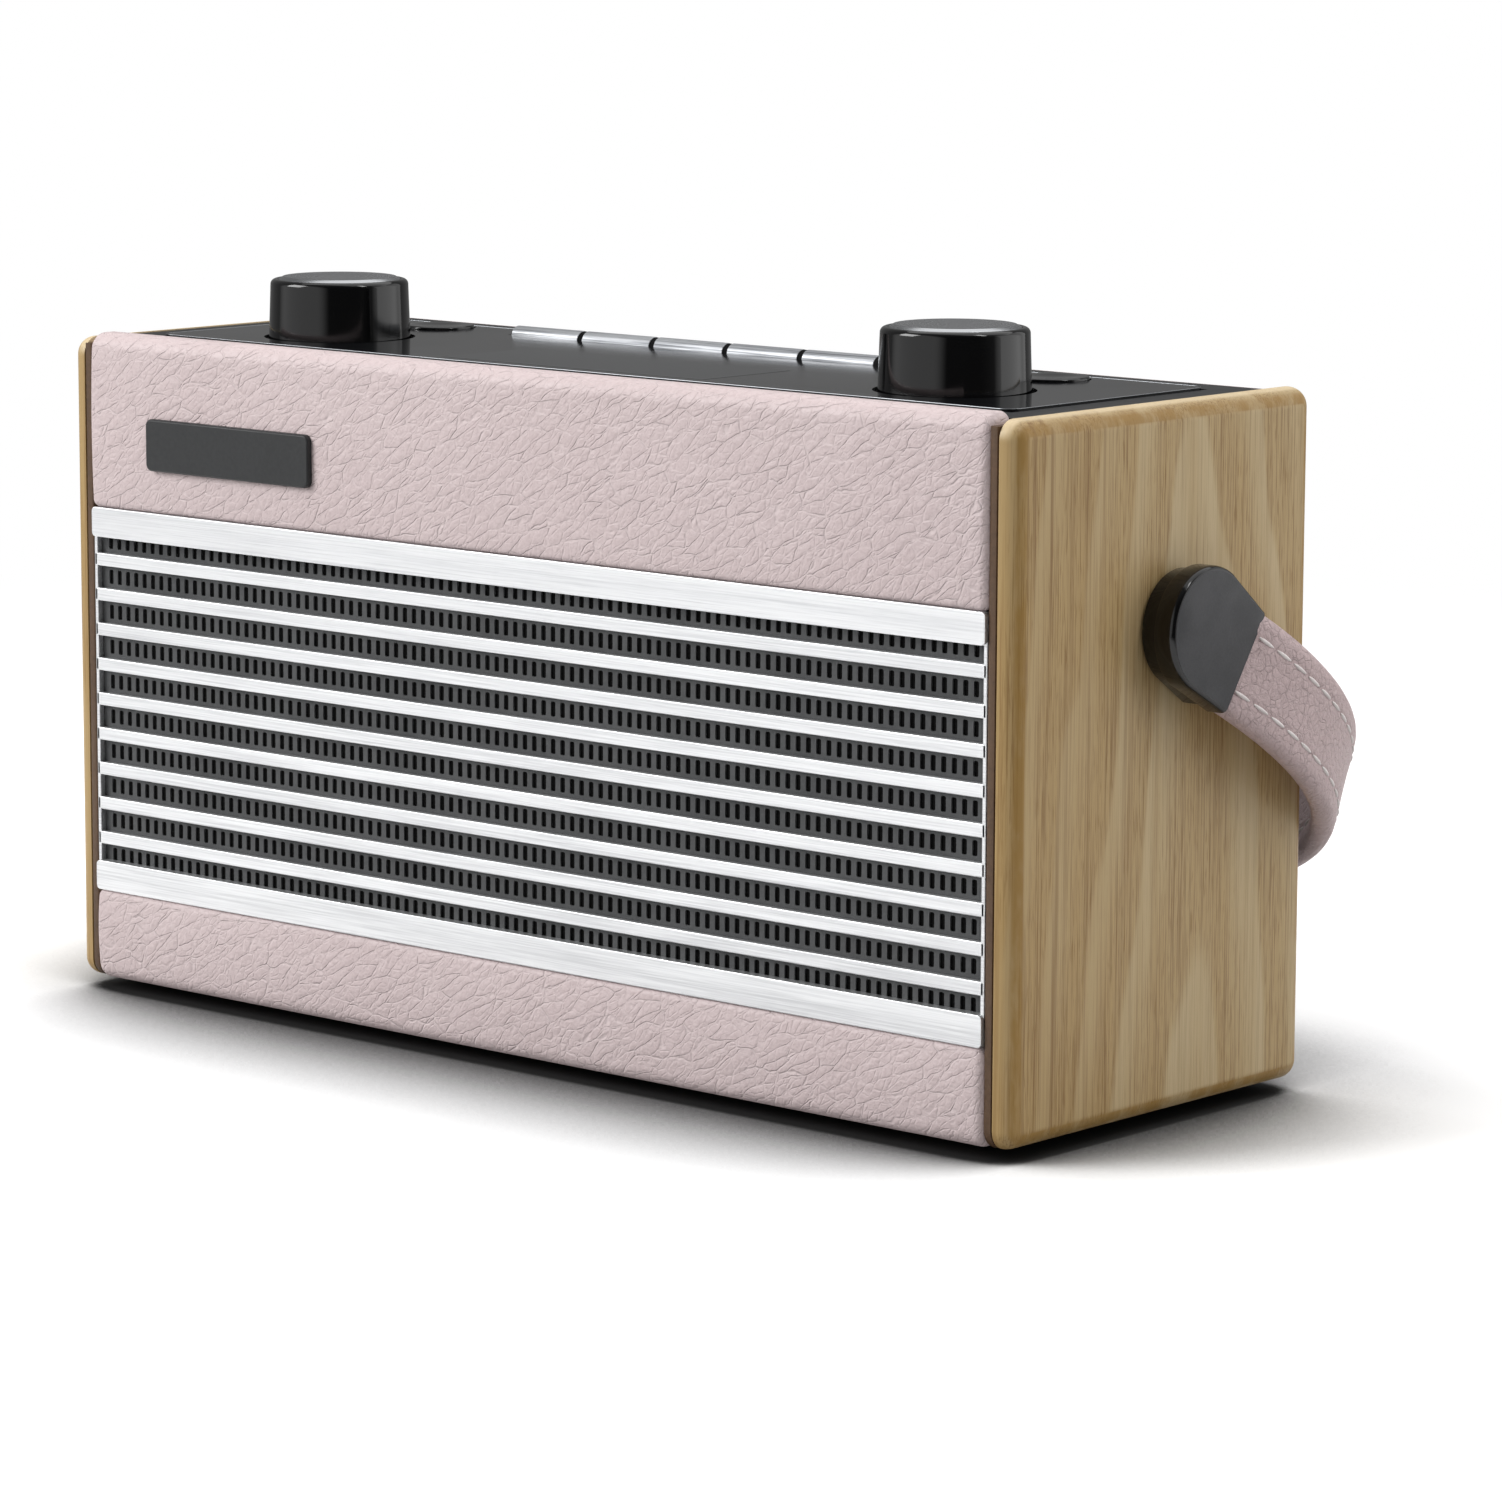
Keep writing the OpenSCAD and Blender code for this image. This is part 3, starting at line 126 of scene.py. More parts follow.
class ShaderNodes:
    """Helpers that add nodes to a shader tree."""

    def __init__(self, tree: bpy.types.NodeTree) -> None:
        """Keeps the tree of a material or of the world."""
        self.tree = tree

    def node(self, kind: str, **settings: object) -> bpy.types.Node:
        """Adds a node.

        Args:
            kind: Blender's name of the node type.
            **settings: Properties of the node.

        Returns:
            The new node.
        """
        made = self.tree.nodes.new(kind)
        for key, value in settings.items():
            setattr(made, key, value)
        return made

    def feed(self, socket: Socket, value: object) -> None:
        """Links a socket to another one, or sets its value.

        Args:
            socket: Input socket.
            value: Output socket, number, vector or colour.
        """
        if isinstance(value, bpy.types.NodeSocket):
            self.tree.links.new(value, socket)
        else:
            socket.default_value = value

    def span(self, value: Socket, low: float, high: float, to_low: float = 0.0,
             to_high: float = 1.0) -> Socket:
        """Smoothly maps one range of values onto another.

        Args:
            value: Incoming value.
            low: Value that gives to_low.
            high: Value that gives to_high.
            to_low: Result at the low end.
            to_high: Result at the high end.

        Returns:
            The mapped socket.
        """
        made = self.node("ShaderNodeMapRange", interpolation_type="SMOOTHSTEP")
        self.feed(made.inputs["Value"], value)
        for key, number in zip(("From Min", "From Max", "To Min", "To Max"), (low, high, to_low, to_high)):
            made.inputs[key].default_value = number
        return made.outputs["Result"]

    def sum(self, kind: str, first: object, second: object = 0.0) -> Socket:
        """A Math node.

        Args:
            kind: Blender's name of the operation.
            first: First value.
            second: Second value.

        Returns:
            The result socket.
        """
        made = self.node("ShaderNodeMath", operation=kind)
        self.feed(made.inputs[0], first)
        self.feed(made.inputs[1], second)
        return made.outputs[0]

    def mix(self, share: object, first: object, second: object) -> Socket:
        """Mixes two colours.

        Args:
            share: Share of the second colour.
            first: First colour or socket.
            second: Second colour or socket.

        Returns:
            The colour socket.
        """
        made = self.node("ShaderNodeMix", data_type="RGBA", blend_type="MIX")
        self.feed(made.inputs[0], share)
        self.feed(made.inputs[6], first)
        self.feed(made.inputs[7], second)
        return made.outputs[2]

    def vector(self, kind: str, first: object, second: object) -> Socket:
        """A Vector Math node.

        Args:
            kind: Blender's name of the operation.
            first: First vector.
            second: Second vector, or the scale.

        Returns:
            The result: a number for a dot product, and a vector for the others.
        """
        made = self.node("ShaderNodeVectorMath", operation=kind)
        self.feed(made.inputs[0], first)
        self.feed(made.inputs["Scale"] if kind == "SCALE" else made.inputs[1], second)
        return made.outputs["Value"] if kind == "DOT_PRODUCT" else made.outputs["Vector"]

    def place(self) -> Socket:
        """Returns the object's own coordinates."""
        return self.node("ShaderNodeTexCoord").outputs["Object"]


class ShaderTree(ShaderNodes):
    """Nodes of one material, from Object coordinates to the Principled shader."""

    def __init__(self, name: str) -> None:
        """Makes the material.

        Args:
            name: Name of the material.
        """
        self.material = bpy.data.materials.new(name)
        self.material.use_nodes = True
        super().__init__(self.material.node_tree)
        self.shader = self.tree.nodes["Principled BSDF"]

    def cells(self, size: Sequence[float], turn: Sequence[float] = (0, 0, 0),
              shift: Sequence[float] = (0, 0, 0), source: Socket | None = None) -> Socket:
        """Object coordinates counted in cells of a given size.

        Args:
            size: Size of a cell along its own axes, in metres.
            turn: Turn of the cells about X, Y and Z, in degrees.
            shift: Place of the first cell, in metres.
            source: Coordinates to use in place of the object's own.

        Returns:
            The vector socket.
        """
        mapping = self.node("ShaderNodeMapping", vector_type="TEXTURE")
        self.feed(mapping.inputs["Vector"], source or self.place())
        mapping.inputs["Location"].default_value = shift
        mapping.inputs["Rotation"].default_value = [math.radians(angle) for angle in turn]
        mapping.inputs["Scale"].default_value = size
        return mapping.outputs["Vector"]

    def warped(self, cell: float, reach: float) -> Socket:
        """Returns object coordinates pushed by noise, from its size and reach in metres."""
        push = self.vector("SCALE", self.noise(self.cells([cell] * 3), 2.0, 0.5, 1), reach)
        return self.vector("ADD", self.place(), push)

    def noise(self, vector: Socket, detail: float = 2.0, roughness: float = 0.5, output: int = 0) -> Socket:
        """Soft noise with one bump for each cell.

        Args:
            vector: Coordinates in cells.
            detail: Octaves of finer noise.
            roughness: Weight of the finer octaves.
            output: 0 for the value and 1 for the colour.

        Returns:
            The chosen socket.
        """
        made = self.node("ShaderNodeTexNoise")
        self.feed(made.inputs["Vector"], vector)
        made.inputs["Scale"].default_value = 1.0
        made.inputs["Detail"].default_value = detail
        made.inputs["Roughness"].default_value = roughness
        return made.outputs[output]

    def edges(self, vector: Socket) -> Socket:
        """Distance to the edge of the cell.

        Args:
            vector: Coordinates in cells.

        Returns:
            The distance socket.
        """
        made = self.node("ShaderNodeTexVoronoi", feature="DISTANCE_TO_EDGE")
        self.feed(made.inputs["Vector"], vector)
        made.inputs["Scale"].default_value = 1.0
        return made.outputs["Distance"]

    def bump(self, height: Socket, depth: float) -> None:
        """Presses a height pattern into the surface.

        Args:
            height: Height from 0 to 1.
            depth: Depth of the pattern in metres.
        """
        made = self.node("ShaderNodeBump")
        made.inputs["Strength"].default_value = 1.0
        made.inputs["Distance"].default_value = depth
        self.feed(made.inputs["Height"], height)
        self.feed(self.shader.inputs["Normal"], made.outputs["Normal"])


@dataclass(frozen=True)
class Finish:
    """Base of the finishes: one material, made once and shared."""

    name: str
    colour: Rgb
    roughness: float = 0.5
    specular: float = 0.5
    metallic: float = 0.0

    def material(self) -> bpy.types.Material:
        """Makes the material the first time, and finds it again later.

        Returns:
            The material.
        """
        found = bpy.data.materials.get(self.name)
        if found:
            return found
        tree = ShaderTree(self.name)
        tree.shader.inputs["Metallic"].default_value = self.metallic
        tree.shader.inputs["Roughness"].default_value = self.roughness
        tree.shader.inputs["Specular IOR Level"].default_value = self.specular
        self.draw(tree)
        return tree.material

    def vary(self, tree: ShaderTree, pattern: Socket, second: Rgb, uneven: Socket, rough: Flat) -> None:
        """Mixes a second colour in along one pattern and varies the roughness along another.

        Args:
            tree: Nodes of the material.
            pattern: Noise that mixes the colours.
            second: Colour where the pattern is high.
            uneven: Noise that varies the roughness.
            rough: Lowest and highest roughness, as shares of the finish's own.
        """
        shade = tree.mix(tree.span(pattern, 0.35, 0.7), linear(self.colour), linear(second))
        tree.feed(tree.shader.inputs["Base Color"], shade)
        least, most = (self.roughness * share for share in rough)
        tree.feed(tree.shader.inputs["Roughness"], tree.span(uneven, 0.3, 0.7, least, most))

    def draw(self, tree: ShaderTree) -> None:
        """Draws the pattern of the finish into the material's nodes."""
        raise NotImplementedError


@dataclass(frozen=True)
class Leathercloth(Finish):
    """Coated cloth with creases that lean to one side. Widths of creases are shares of a cell."""

    crease: Rgb = (178, 158, 158)
    # Painted highlight: the crest colour is painted along the creases, lighter than the cloth.
    crease_highlight: Rgb = (228, 214, 213)
    cell: Flat = (0.0088, 0.0027)
    lean: float = 30.0
    depth: float = 0.00017
    pebble: float = 0.001
    line: float = 0.055
    pillow: float = 0.3
    pillow_depth: float = 0.32
    small_cell: Flat = (0.38, 0.62)
    small_lean: float = 14.0
    small_line: float = 0.12
    pebble_depth: float = 1.2
    crease_highlight_share: float = 0.3
    cloud: float = 0.03

    def draw(self, tree: ShaderTree) -> None:
        """Draws long creases that come and go, finer ones among them and a pebble, with a painted highlight
        along the creases.

        Args:
            tree: Nodes of the material.
        """
        length, width = self.cell
        source = tree.warped(width * 2.2, width * 0.75)
        edge = tree.edges(tree.cells((length, width, width), (0, -self.lean, 0), source=source))
        main = tree.span(edge, 0.0, self.line, 1.0, 0.0)
        pillow = tree.span(edge, 0.0, self.pillow, 1.0, 0.0)
        small = (length * self.small_cell[0], width * self.small_cell[1], width * self.small_cell[1])
        small_edge = tree.edges(tree.cells(small, (0, -self.lean - self.small_lean, 0), source=source))
        fine = tree.span(small_edge, 0.0, self.small_line, 1.0, 0.0)
        comes = tree.noise(tree.cells([width * 1.2] * 3, shift=(0.03, 0, 0)))
        reach = tree.span(comes, 0.36, 0.6, 0.25, 1.0)
        short = tree.sum("MULTIPLY", fine, tree.sum("SUBTRACT", 0.55, tree.sum("MULTIPLY", reach, 0.32)))
        fold = tree.sum("MAXIMUM", tree.sum("MULTIPLY", main, reach), short)
        pebble = tree.noise(tree.cells([self.pebble] * 3), 2.0, 0.6)
        sunk = tree.sum("ADD", fold, tree.sum("MULTIPLY", pillow, self.pillow_depth))
        raised = tree.sum("MULTIPLY", pebble, self.pebble_depth)
        tree.bump(tree.sum("SUBTRACT", raised, sunk), self.depth)
        tone = tree.span(tree.noise(tree.cells([self.cloud] * 3)), 0.3, 0.7, 0.0, 0.10)
        speck = tree.span(pebble, 0.35, 0.7, 0.0, 0.20)
        base = tree.mix(tree.sum("ADD", tone, speck), linear(self.colour), linear(self.crease))
        # Painted highlight: the creases are painted lighter, standing in for light along their edges.
        with_painted_light = tree.mix(tree.sum("MULTIPLY", fold, self.crease_highlight_share), base, linear(self.crease_highlight))
        tree.feed(tree.shader.inputs["Base Color"], with_painted_light)
        tree.feed(tree.shader.inputs["Roughness"],
                  tree.span(fold, 0.0, 1.0, self.roughness, self.roughness + 0.15))


@dataclass(frozen=True)
class AshWood(Finish):
    """Plain-sawn ash: ring bands cut as arches, with pores in the early wood."""

    tan: Rgb = (176, 145, 93)
    pore: Rgb = (128, 94, 52)
    # Painted shade, partly the ash's grain: amber where the rounded edges turn into the side face.
    turn_shade: Rgb = (158, 122, 62)
    # Painted highlight: cream along the top edge, where light from above falls.
    top_highlight: Rgb = (234, 214, 178)
    heart_y: float = 0.010
    heart_depth: float = 0.008
    ring: float = 0.0125
    taper: float = 0.12
    face: float = 0.127
    shoulder: float = 0.136
    fibre: Place = (0.00036, 0.00036, 0.03)
    dash: Place = (0.00038, 0.00038, 0.007)
    board: Place = (0.006, 0.006, 0.19)
    streak: Place = (0.0017, 0.0017, 0.14)
    blotch: Place = (0.004, 0.004, 0.012)
    # Tan towards the front of the cheek: partly the wood's tone and partly painted shade, darker where less
    # light falls.
    front: Flat = (-0.045, 0.008)
    front_share: float = 0.56
    depth: float = 0.00004

    def draw(self, tree: ShaderTree) -> None:
        """Draws the rings as cones round a heart behind the board's face.

        Args:
            tree: Nodes of the material.
        """
        split = tree.node("ShaderNodeSeparateXYZ")
        tree.feed(split.inputs[0], tree.place())
        outward = tree.sum("ABSOLUTE", split.outputs["X"])
        part = self.ring_part(tree, split, outward)
        early = tree.sum("MULTIPLY", tree.span(part, 0.0, 0.12), tree.span(part, 0.36, 0.96, 1.0, 0.0))
        fibre = tree.noise(tree.cells(self.fibre), 3.0, 0.7)
        dashes = tree.noise(tree.cells(self.dash, shift=(0.2, 0, 0)), 2.0, 0.6)
        pores = tree.span(dashes, 0.52, 0.68)
        band = self.band(tree, split.outputs["Y"], early)
        lines = tree.sum("ADD", tree.sum("MULTIPLY", early, 0.5), 0.3)
        band = tree.mix(tree.sum("MULTIPLY", tree.span(fibre, 0.46, 0.68), lines), band, linear(self.pore))
        share = tree.sum("MULTIPLY", pores, tree.sum("ADD", tree.sum("MULTIPLY", early, 0.42), 0.08))
        grain = tree.mix(share, band, linear(self.pore))
        tree.feed(tree.shader.inputs["Base Color"], self.with_painted_light(tree, split.outputs["Z"], outward, grain))
        tree.feed(tree.shader.inputs["Roughness"],
                  tree.span(share, 0.0, 0.8, self.roughness, self.roughness + 0.2))
        tree.bump(tree.sum("SUBTRACT", tree.sum("MULTIPLY", fibre, 0.35), share), self.depth)

    def band(self, tree: ShaderTree, depthwise: Socket, early: Socket) -> Socket:
        """Colours of the rings, with broad tan bands and streaks that gather to the front, where the tan is
        partly the wood's tone and partly painted shade.

        Args:
            tree: Nodes of the material.
            depthwise: Place along Y.
            early: Share of early wood.

        Returns:
            The colour socket.
        """
        broad = tree.noise(tree.cells(self.board, shift=(0.4, 0, 0)), 2.0, 0.5)
        band = tree.mix(tree.sum("MULTIPLY", early, 0.55), linear(self.colour), linear(self.tan))
        band = tree.mix(tree.span(broad, 0.40, 0.66, 0.0, 0.28), band, linear(self.tan))
        # Tan towards the front: partly the wood's tone, partly painted shade.
        front = tree.span(depthwise, *self.front, self.front_share, 0.0)
        band = tree.mix(front, band, linear(self.tan))
        streak = tree.noise(tree.cells(self.streak, shift=(0.7, 0, 0)), 2.0, 0.5)
        streak = tree.sum("MULTIPLY", tree.span(streak, 0.52, 0.68), tree.sum("ADD", front, 0.1))
        return tree.mix(streak, band, linear(self.pore))

    def with_painted_light(self, tree: ShaderTree, height: Socket, outward: Socket, grain: Socket) -> Socket:
        """Tints the rounded edges: an amber painted shade where they turn into the side, partly the ash's
        grain, tan past that, and a painted highlight in cream along the top.

        Args:
            tree: Nodes of the material.
            height: Place along Z.
            outward: Distance from the middle of the radio.
            grain: Colour of the face.

        Returns:
            The colour socket.
        """
        # Painted shade, partly the ash's grain: amber band where the rounding turns into the side face.
        rounded = tree.sum("MULTIPLY", tree.span(outward, self.face - 0.00012, self.face, 1.0, 0.0),
                           tree.span(outward, self.face - 0.0016, self.face - 0.0007))
        blotch = tree.noise(tree.cells(self.blotch, shift=(0.6, 0, 0)), 3.0, 0.6)
        rounded = tree.sum("MULTIPLY", rounded, tree.span(blotch, 0.36, 0.62, 0.3, 0.85))
        turned = tree.span(outward, self.face - 0.0026, self.face - 0.0015, 1.0, 0.0)
        # Painted highlight: cream along the top, where light from above falls.
        top = tree.span(height, self.shoulder - 0.002, self.shoulder + 0.001)
        sides = tree.sum("MULTIPLY", turned, tree.span(top, 0.0, 1.0, 0.4, 0.0))
        top_highlight_share = tree.sum("MULTIPLY", turned, tree.sum("MULTIPLY", top, 0.62))
        tinted = tree.mix(top_highlight_share, tree.mix(sides, grain, linear(self.tan)), linear(self.top_highlight))
        return tree.mix(rounded, tinted, linear(self.turn_shade))

    def ring_part(self, tree: ShaderTree, split: bpy.types.Node, outward: Socket) -> Socket:
        """Place within a ring, from 0 at its early wood to 1 at its late wood.

        Args:
            tree: Nodes of the material.
            split: Node with the coordinates apart.
            outward: Distance from the middle of the radio.

        Returns:
            The share of the ring's width.
        """
        bend = tree.noise(tree.cells((0.03, 0.03, 0.12)), 2.0, 0.5)
        ripple = tree.noise(tree.cells((0.005, 0.005, 0.09)), 2.0, 0.5)
        across = tree.sum("SUBTRACT", split.outputs["Y"], self.heart_y)
        across = tree.sum("ADD", across, tree.span(bend, 0.2, 0.8, -0.005, 0.005))
        depth = tree.sum("SUBTRACT", self.heart_depth + self.face, outward)
        square = tree.sum("ADD", tree.sum("MULTIPLY", across, across), tree.sum("MULTIPLY", depth, depth))
        rise = tree.sum("MULTIPLY", split.outputs["Z"], self.taper)
        radius = tree.sum("ADD", tree.sum("SQRT", square), rise)
        count = tree.sum("ADD", tree.sum("DIVIDE", radius, self.ring), tree.sum("MULTIPLY", ripple, 0.16))
        return tree.sum("FRACT", count)


@dataclass(frozen=True)
class StreakedMetal(Finish):
    """Brushed or drawn metal with fine lines along one axis."""

    along: Axis = Axis.X
    dull: Rgb = (200, 201, 203)
    stroke: float = 0.05
    fine: float = 0.00014
    depth: float = 0.000012

    def draw(self, tree: ShaderTree) -> None:
        """Draws the brush lines.

        Args:
            tree: Nodes of the material.
        """
        size = [self.stroke if part else self.fine for part in self.along.value]
        lines = tree.noise(tree.cells(size), 3.0, 0.7)
        broad = tree.noise(tree.cells([side * 6 for side in size]), 2.0, 0.5)
        both = tree.sum("ADD", tree.sum("MULTIPLY", lines, 0.7), tree.sum("MULTIPLY", broad, 0.3))
        self.vary(tree, both, self.dull, both, (0.8, 1.3))
        tree.bump(both, self.depth)


@dataclass(frozen=True)
class TurnedMetal(Finish):
    """Metal turned on a lathe, with rings round a centre."""

    centre: Flat = (0.0, 0.0)
    dull: Rgb = (160, 162, 165)
    groove: float = 0.0003
    depth: float = 0.000003

    def draw(self, tree: ShaderTree) -> None:
        """Draws the rings.

        Args:
            tree: Nodes of the material.
        """
        flat = tree.vector("MULTIPLY", tree.cells((1, 1, 1), shift=(*self.centre, 0)), (1, 1, 0))
        reach = tree.node("ShaderNodeVectorMath", operation="LENGTH")
        tree.feed(reach.inputs[0], flat)
        line = tree.node("ShaderNodeCombineXYZ")
        tree.feed(line.inputs[0], tree.sum("DIVIDE", reach.outputs["Value"], self.groove))
        rings = tree.noise(line.outputs[0], 3.0, 0.7)
        self.vary(tree, rings, self.dull, rings, (0.8, 1.25))
        tree.bump(rings, self.depth)


@dataclass(frozen=True)
class Moulded(Finish):
    """Moulded, painted or rubbery surface with a fine grain."""

    second: Rgb = (30, 30, 32)
    grain: float = 0.0005
    depth: float = 0.00002
    blotch: float = 0.02

    def draw(self, tree: ShaderTree) -> None:
        """Draws the grain and a faint unevenness.

        Args:
            tree: Nodes of the material.
        """
        grain = tree.noise(tree.cells([self.grain] * 3), 3.0, 0.6)
        blotch = tree.noise(tree.cells([self.blotch] * 3), 3.0, 0.5)
        share = tree.sum("ADD", tree.sum("MULTIPLY", grain, 0.5), tree.sum("MULTIPLY", blotch, 0.5))
        self.vary(tree, share, self.second, blotch, (0.88, 1.15))
        tree.bump(grain, self.depth)


@dataclass(frozen=True)
class Woven(Finish):
    """Fine woven cloth."""

    thread: float = 0.0006
    gap: Rgb = (4, 4, 4)
    depth: float = 0.0001

    def draw(self, tree: ShaderTree) -> None:
        """Draws the crossing threads.

        Args:
            tree: Nodes of the material.
        """
        waves = []
        for axis in ("X", "Z"):
            wave = tree.node("ShaderNodeTexWave", wave_type="BANDS", bands_direction=axis)
            tree.feed(wave.inputs["Vector"], tree.cells([self.thread * math.tau] * 3))
            wave.inputs["Scale"].default_value = 1.0
            waves.append(wave.outputs["Fac"])
        height = tree.sum("MULTIPLY", waves[0], waves[1])
        tree.feed(tree.shader.inputs["Base Color"], tree.mix(height, linear(self.gap), linear(self.colour)))
        tree.bump(height, self.depth)


# Both leathers take a painted highlight along their creases (the crest colour).
RAIL_LEATHER = Leathercloth("rail_leathercloth", (215, 198, 198), 0.46, 0.38)
STRAP_LEATHER = Leathercloth("strap_leather", (206, 184, 184), 0.5, 0.36, crease=(160, 137, 138),
                             crease_highlight=(224, 206, 205), cell=(0.0036, 0.0017), lean=12.0, depth=0.00018,
                             pebble=0.0007)
ASH = AshWood("lacquered_ash", (198, 177, 138), 0.42, 0.3)
BROWN_BOARD = Moulded("brown_stained_board", (94, 70, 49), 0.42, 0.35, second=(74, 54, 37), grain=0.0009,
                      depth=0.00003, blotch=0.03)
BASE_WOOD = Moulded("black_stained_base", (52, 47, 43), 0.6, 0.3, second=(34, 30, 28), grain=0.0012,
                    depth=0.00005, blotch=0.03)
BRIGHT_BARS = StreakedMetal("brushed_grille_bars", (222, 223, 224), 0.40, 0.5, metallic=0.85,
                            dull=(188, 189, 191), stroke=0.03, fine=0.0004)
SCREEN_GREY = Moulded("painted_slot_screen", (77, 78, 79), 0.55, 0.3, second=(66, 67, 68), grain=0.0007,
                      depth=0.00003)
SLOT_CLOTH = Woven("black_speaker_cloth", (9, 9, 10), 0.9, 0.1)
BADGE_BLACK = Moulded("badge_enamel", (50, 51, 52), 0.4, 0.25, second=(43, 44, 45), grain=0.0008,
                      depth=0.00001)
DECK_BLACK = Moulded("deck_moulding", (34, 35, 36), 0.42, 0.3, second=(28, 29, 30), grain=0.0007)
DECK_GLOSS = Moulded("deck_gloss", (20, 21, 23), 0.12, 0.3, second=(16, 17, 19), grain=0.004,
                     depth=0.000002, blotch=0.03)
KNOB_GLOSS = Moulded("knob_gloss", (9, 9, 10), 0.08, 0.45, second=(12, 12, 13), grain=0.004, depth=0.000002)
CAP_GLOSS = Moulded("cap_gloss", (8, 8, 9), 0.10, 0.4, second=(11, 11, 12), grain=0.003, depth=0.000003)
CAP_MATTE = Moulded("cap_face", (74, 74, 76), 0.55, 0.25, second=(67, 67, 69), grain=0.0004, blotch=0.01)
BACK_BLACK = Moulded("back_cover_plastic", (40, 40, 42), 0.55, 0.4, second=(30, 30, 32), grain=0.0008,
                     depth=0.00008, blotch=0.03)
SOCKET_BLACK = Moulded("socket_plastic", (30, 30, 32), 0.4, 0.4, second=(24, 24, 26), grain=0.0006,
                       depth=0.00003)
FOOT_RUBBER = Moulded("foot_rubber", (38, 38, 39), 0.8, 0.25, second=(28, 28, 29), grain=0.0006,
                      depth=0.00006, blotch=0.01)
THREAD = Moulded("stitch_thread", (244, 238, 236), 0.7, 0.25, second=(230, 221, 219), grain=0.0003,
                 depth=0.00004, blotch=0.01)
# Painted shade: dark marks between the stitches stand in for the shade in the stitch holes.
STITCH_HOLE_SHADE = Moulded("stitch_hole_shade", (92, 74, 72), 0.8, 0.2, second=(76, 60, 58), grain=0.0003,
                      depth=0.00004, blotch=0.01)
KEY_METAL = StreakedMetal("key_brushed", (190, 192, 195), 0.52, 0.5, metallic=1.0, dull=(118, 120, 124),
                          stroke=0.03, fine=0.0004)
TRIM_METAL = StreakedMetal("trim_bright", (138, 140, 143), 0.3, 0.5, metallic=1.0, dull=(120, 122, 125))
# Painted shade: black ribs fill the gaps between the bar keys, so that the gaps read dark.
GAP_SHADE_BLACK = Moulded("key_gap_shade_black", (12, 12, 13), 0.75, 0.1, second=(8, 8, 9), grain=0.0006, blotch=0.01)
CHROME = StreakedMetal("aerial_chrome", (222, 224, 227), 0.1, 0.5, metallic=1.0, dull=(205, 207, 211),
                       fine=0.0003, depth=0.000002)
STEEL = StreakedMetal("plated_steel", (196, 198, 200), 0.3, 0.5, metallic=1.0, along=Axis.Z,
                      dull=(160, 162, 165))
BOARD_GREEN = Moulded("circuit_board", (26, 74, 48), 0.45, 0.4, second=(18, 56, 36), grain=0.002,
                      blotch=0.01)
CONE_PAPER = Moulded("cone_paper", (46, 45, 44), 0.85, 0.2, second=(34, 33, 32), grain=0.0012, depth=0.0001,
                     blotch=0.01)
CELL_WRAP = Moulded("cell_wrap", (178, 140, 52), 0.35, 0.4, second=(160, 122, 40), grain=0.002,
                    depth=0.00001)
DISPLAY_GLASS = Moulded("display_glass", (24, 28, 31), 0.08, 0.3, second=(20, 24, 27), grain=0.004,
                        depth=0.000002, blotch=0.03)


def shown(name: str, mesh: bpy.types.Mesh, sharp: float = 35.0) -> Piece:
    """Links a mesh to the scene with smooth shading.

    Args:
        name: Name of the piece.
        mesh: Mesh with its place in its own points.
        sharp: Angle in degrees past which an edge stays sharp.

    Returns:
        The object.
    """
    mesh.shade_smooth()
    mesh.set_sharp_from_angle(angle=math.radians(sharp))
    piece = bpy.data.objects.new(name, mesh)
    bpy.context.scene.collection.objects.link(piece)
    return piece


def loft(name: str, rings: Sequence[Sequence[Sequence[float]]], sharp: float = 35.0,
         joined: bool = False) -> Piece:
    """Skins a row of rings that have the same number of points, with its faces outwards.

    Args:
        name: Name of the piece.
        rings: Rings of points.
        sharp: Angle in degrees past which an edge stays sharp.
        joined: Joins the last ring to the first, in place of closing both ends.

    Returns:
        The object.
    """
    size = len(rings[0])
    count = len(rings)
    verts = [point for ring in rings for point in ring]
    faces = []
    for i in range(count if joined else count - 1):
        a, b = i * size, (i + 1) % count * size
        faces += [(a + k, a + (k + 1) % size, b + (k + 1) % size, b + k) for k in range(size)]
    if not joined:
        faces.append(tuple(range(size)))
        faces.append(tuple(range((count - 1) * size, count * size)))
    mesh = bpy.data.meshes.new(name)
    mesh.from_pydata([tuple(vert) for vert in verts], [], faces)
    work = bmesh.new()
    work.from_mesh(mesh)
    bmesh.ops.remove_doubles(work, verts=work.verts, dist=WELD)
    bmesh.ops.recalc_face_normals(work, faces=work.faces)
    work.to_mesh(mesh)
    work.free()
    return shown(name, mesh, sharp)


def lathe(name: str, profile: Sequence[Flat], centre: Sequence[float], axis: Axis = Axis.Z, steps: int = 96,
          sharp: float = 35.0) -> Piece:
    """Turns a profile about an axis.

    Args:
        name: Name of the piece.
        profile: Points of (radius, height), in metres.
        centre: Point on the axis at height 0.
        axis: Direction of the axis.
        steps: Number of points round the axis.
        sharp: Angle in degrees past which an edge stays sharp.

    Returns:
        The object.
    """
    side = {Axis.X: (Axis.Y, Axis.Z), Axis.Y: (Axis.Z, Axis.X), Axis.Z: (Axis.X, Axis.Y)}[axis]
    rings = []
    for radius, height in profile:
        ring = []
        for k in range(steps):
            angle = math.tau * k / steps
            ring.append(Vector(centre) + height * axis.value + max(radius, TOUCH)
                        * (math.cos(angle) * side[0].value + math.sin(angle) * side[1].value))
        rings.append(ring)
    return loft(name, rings, sharp)


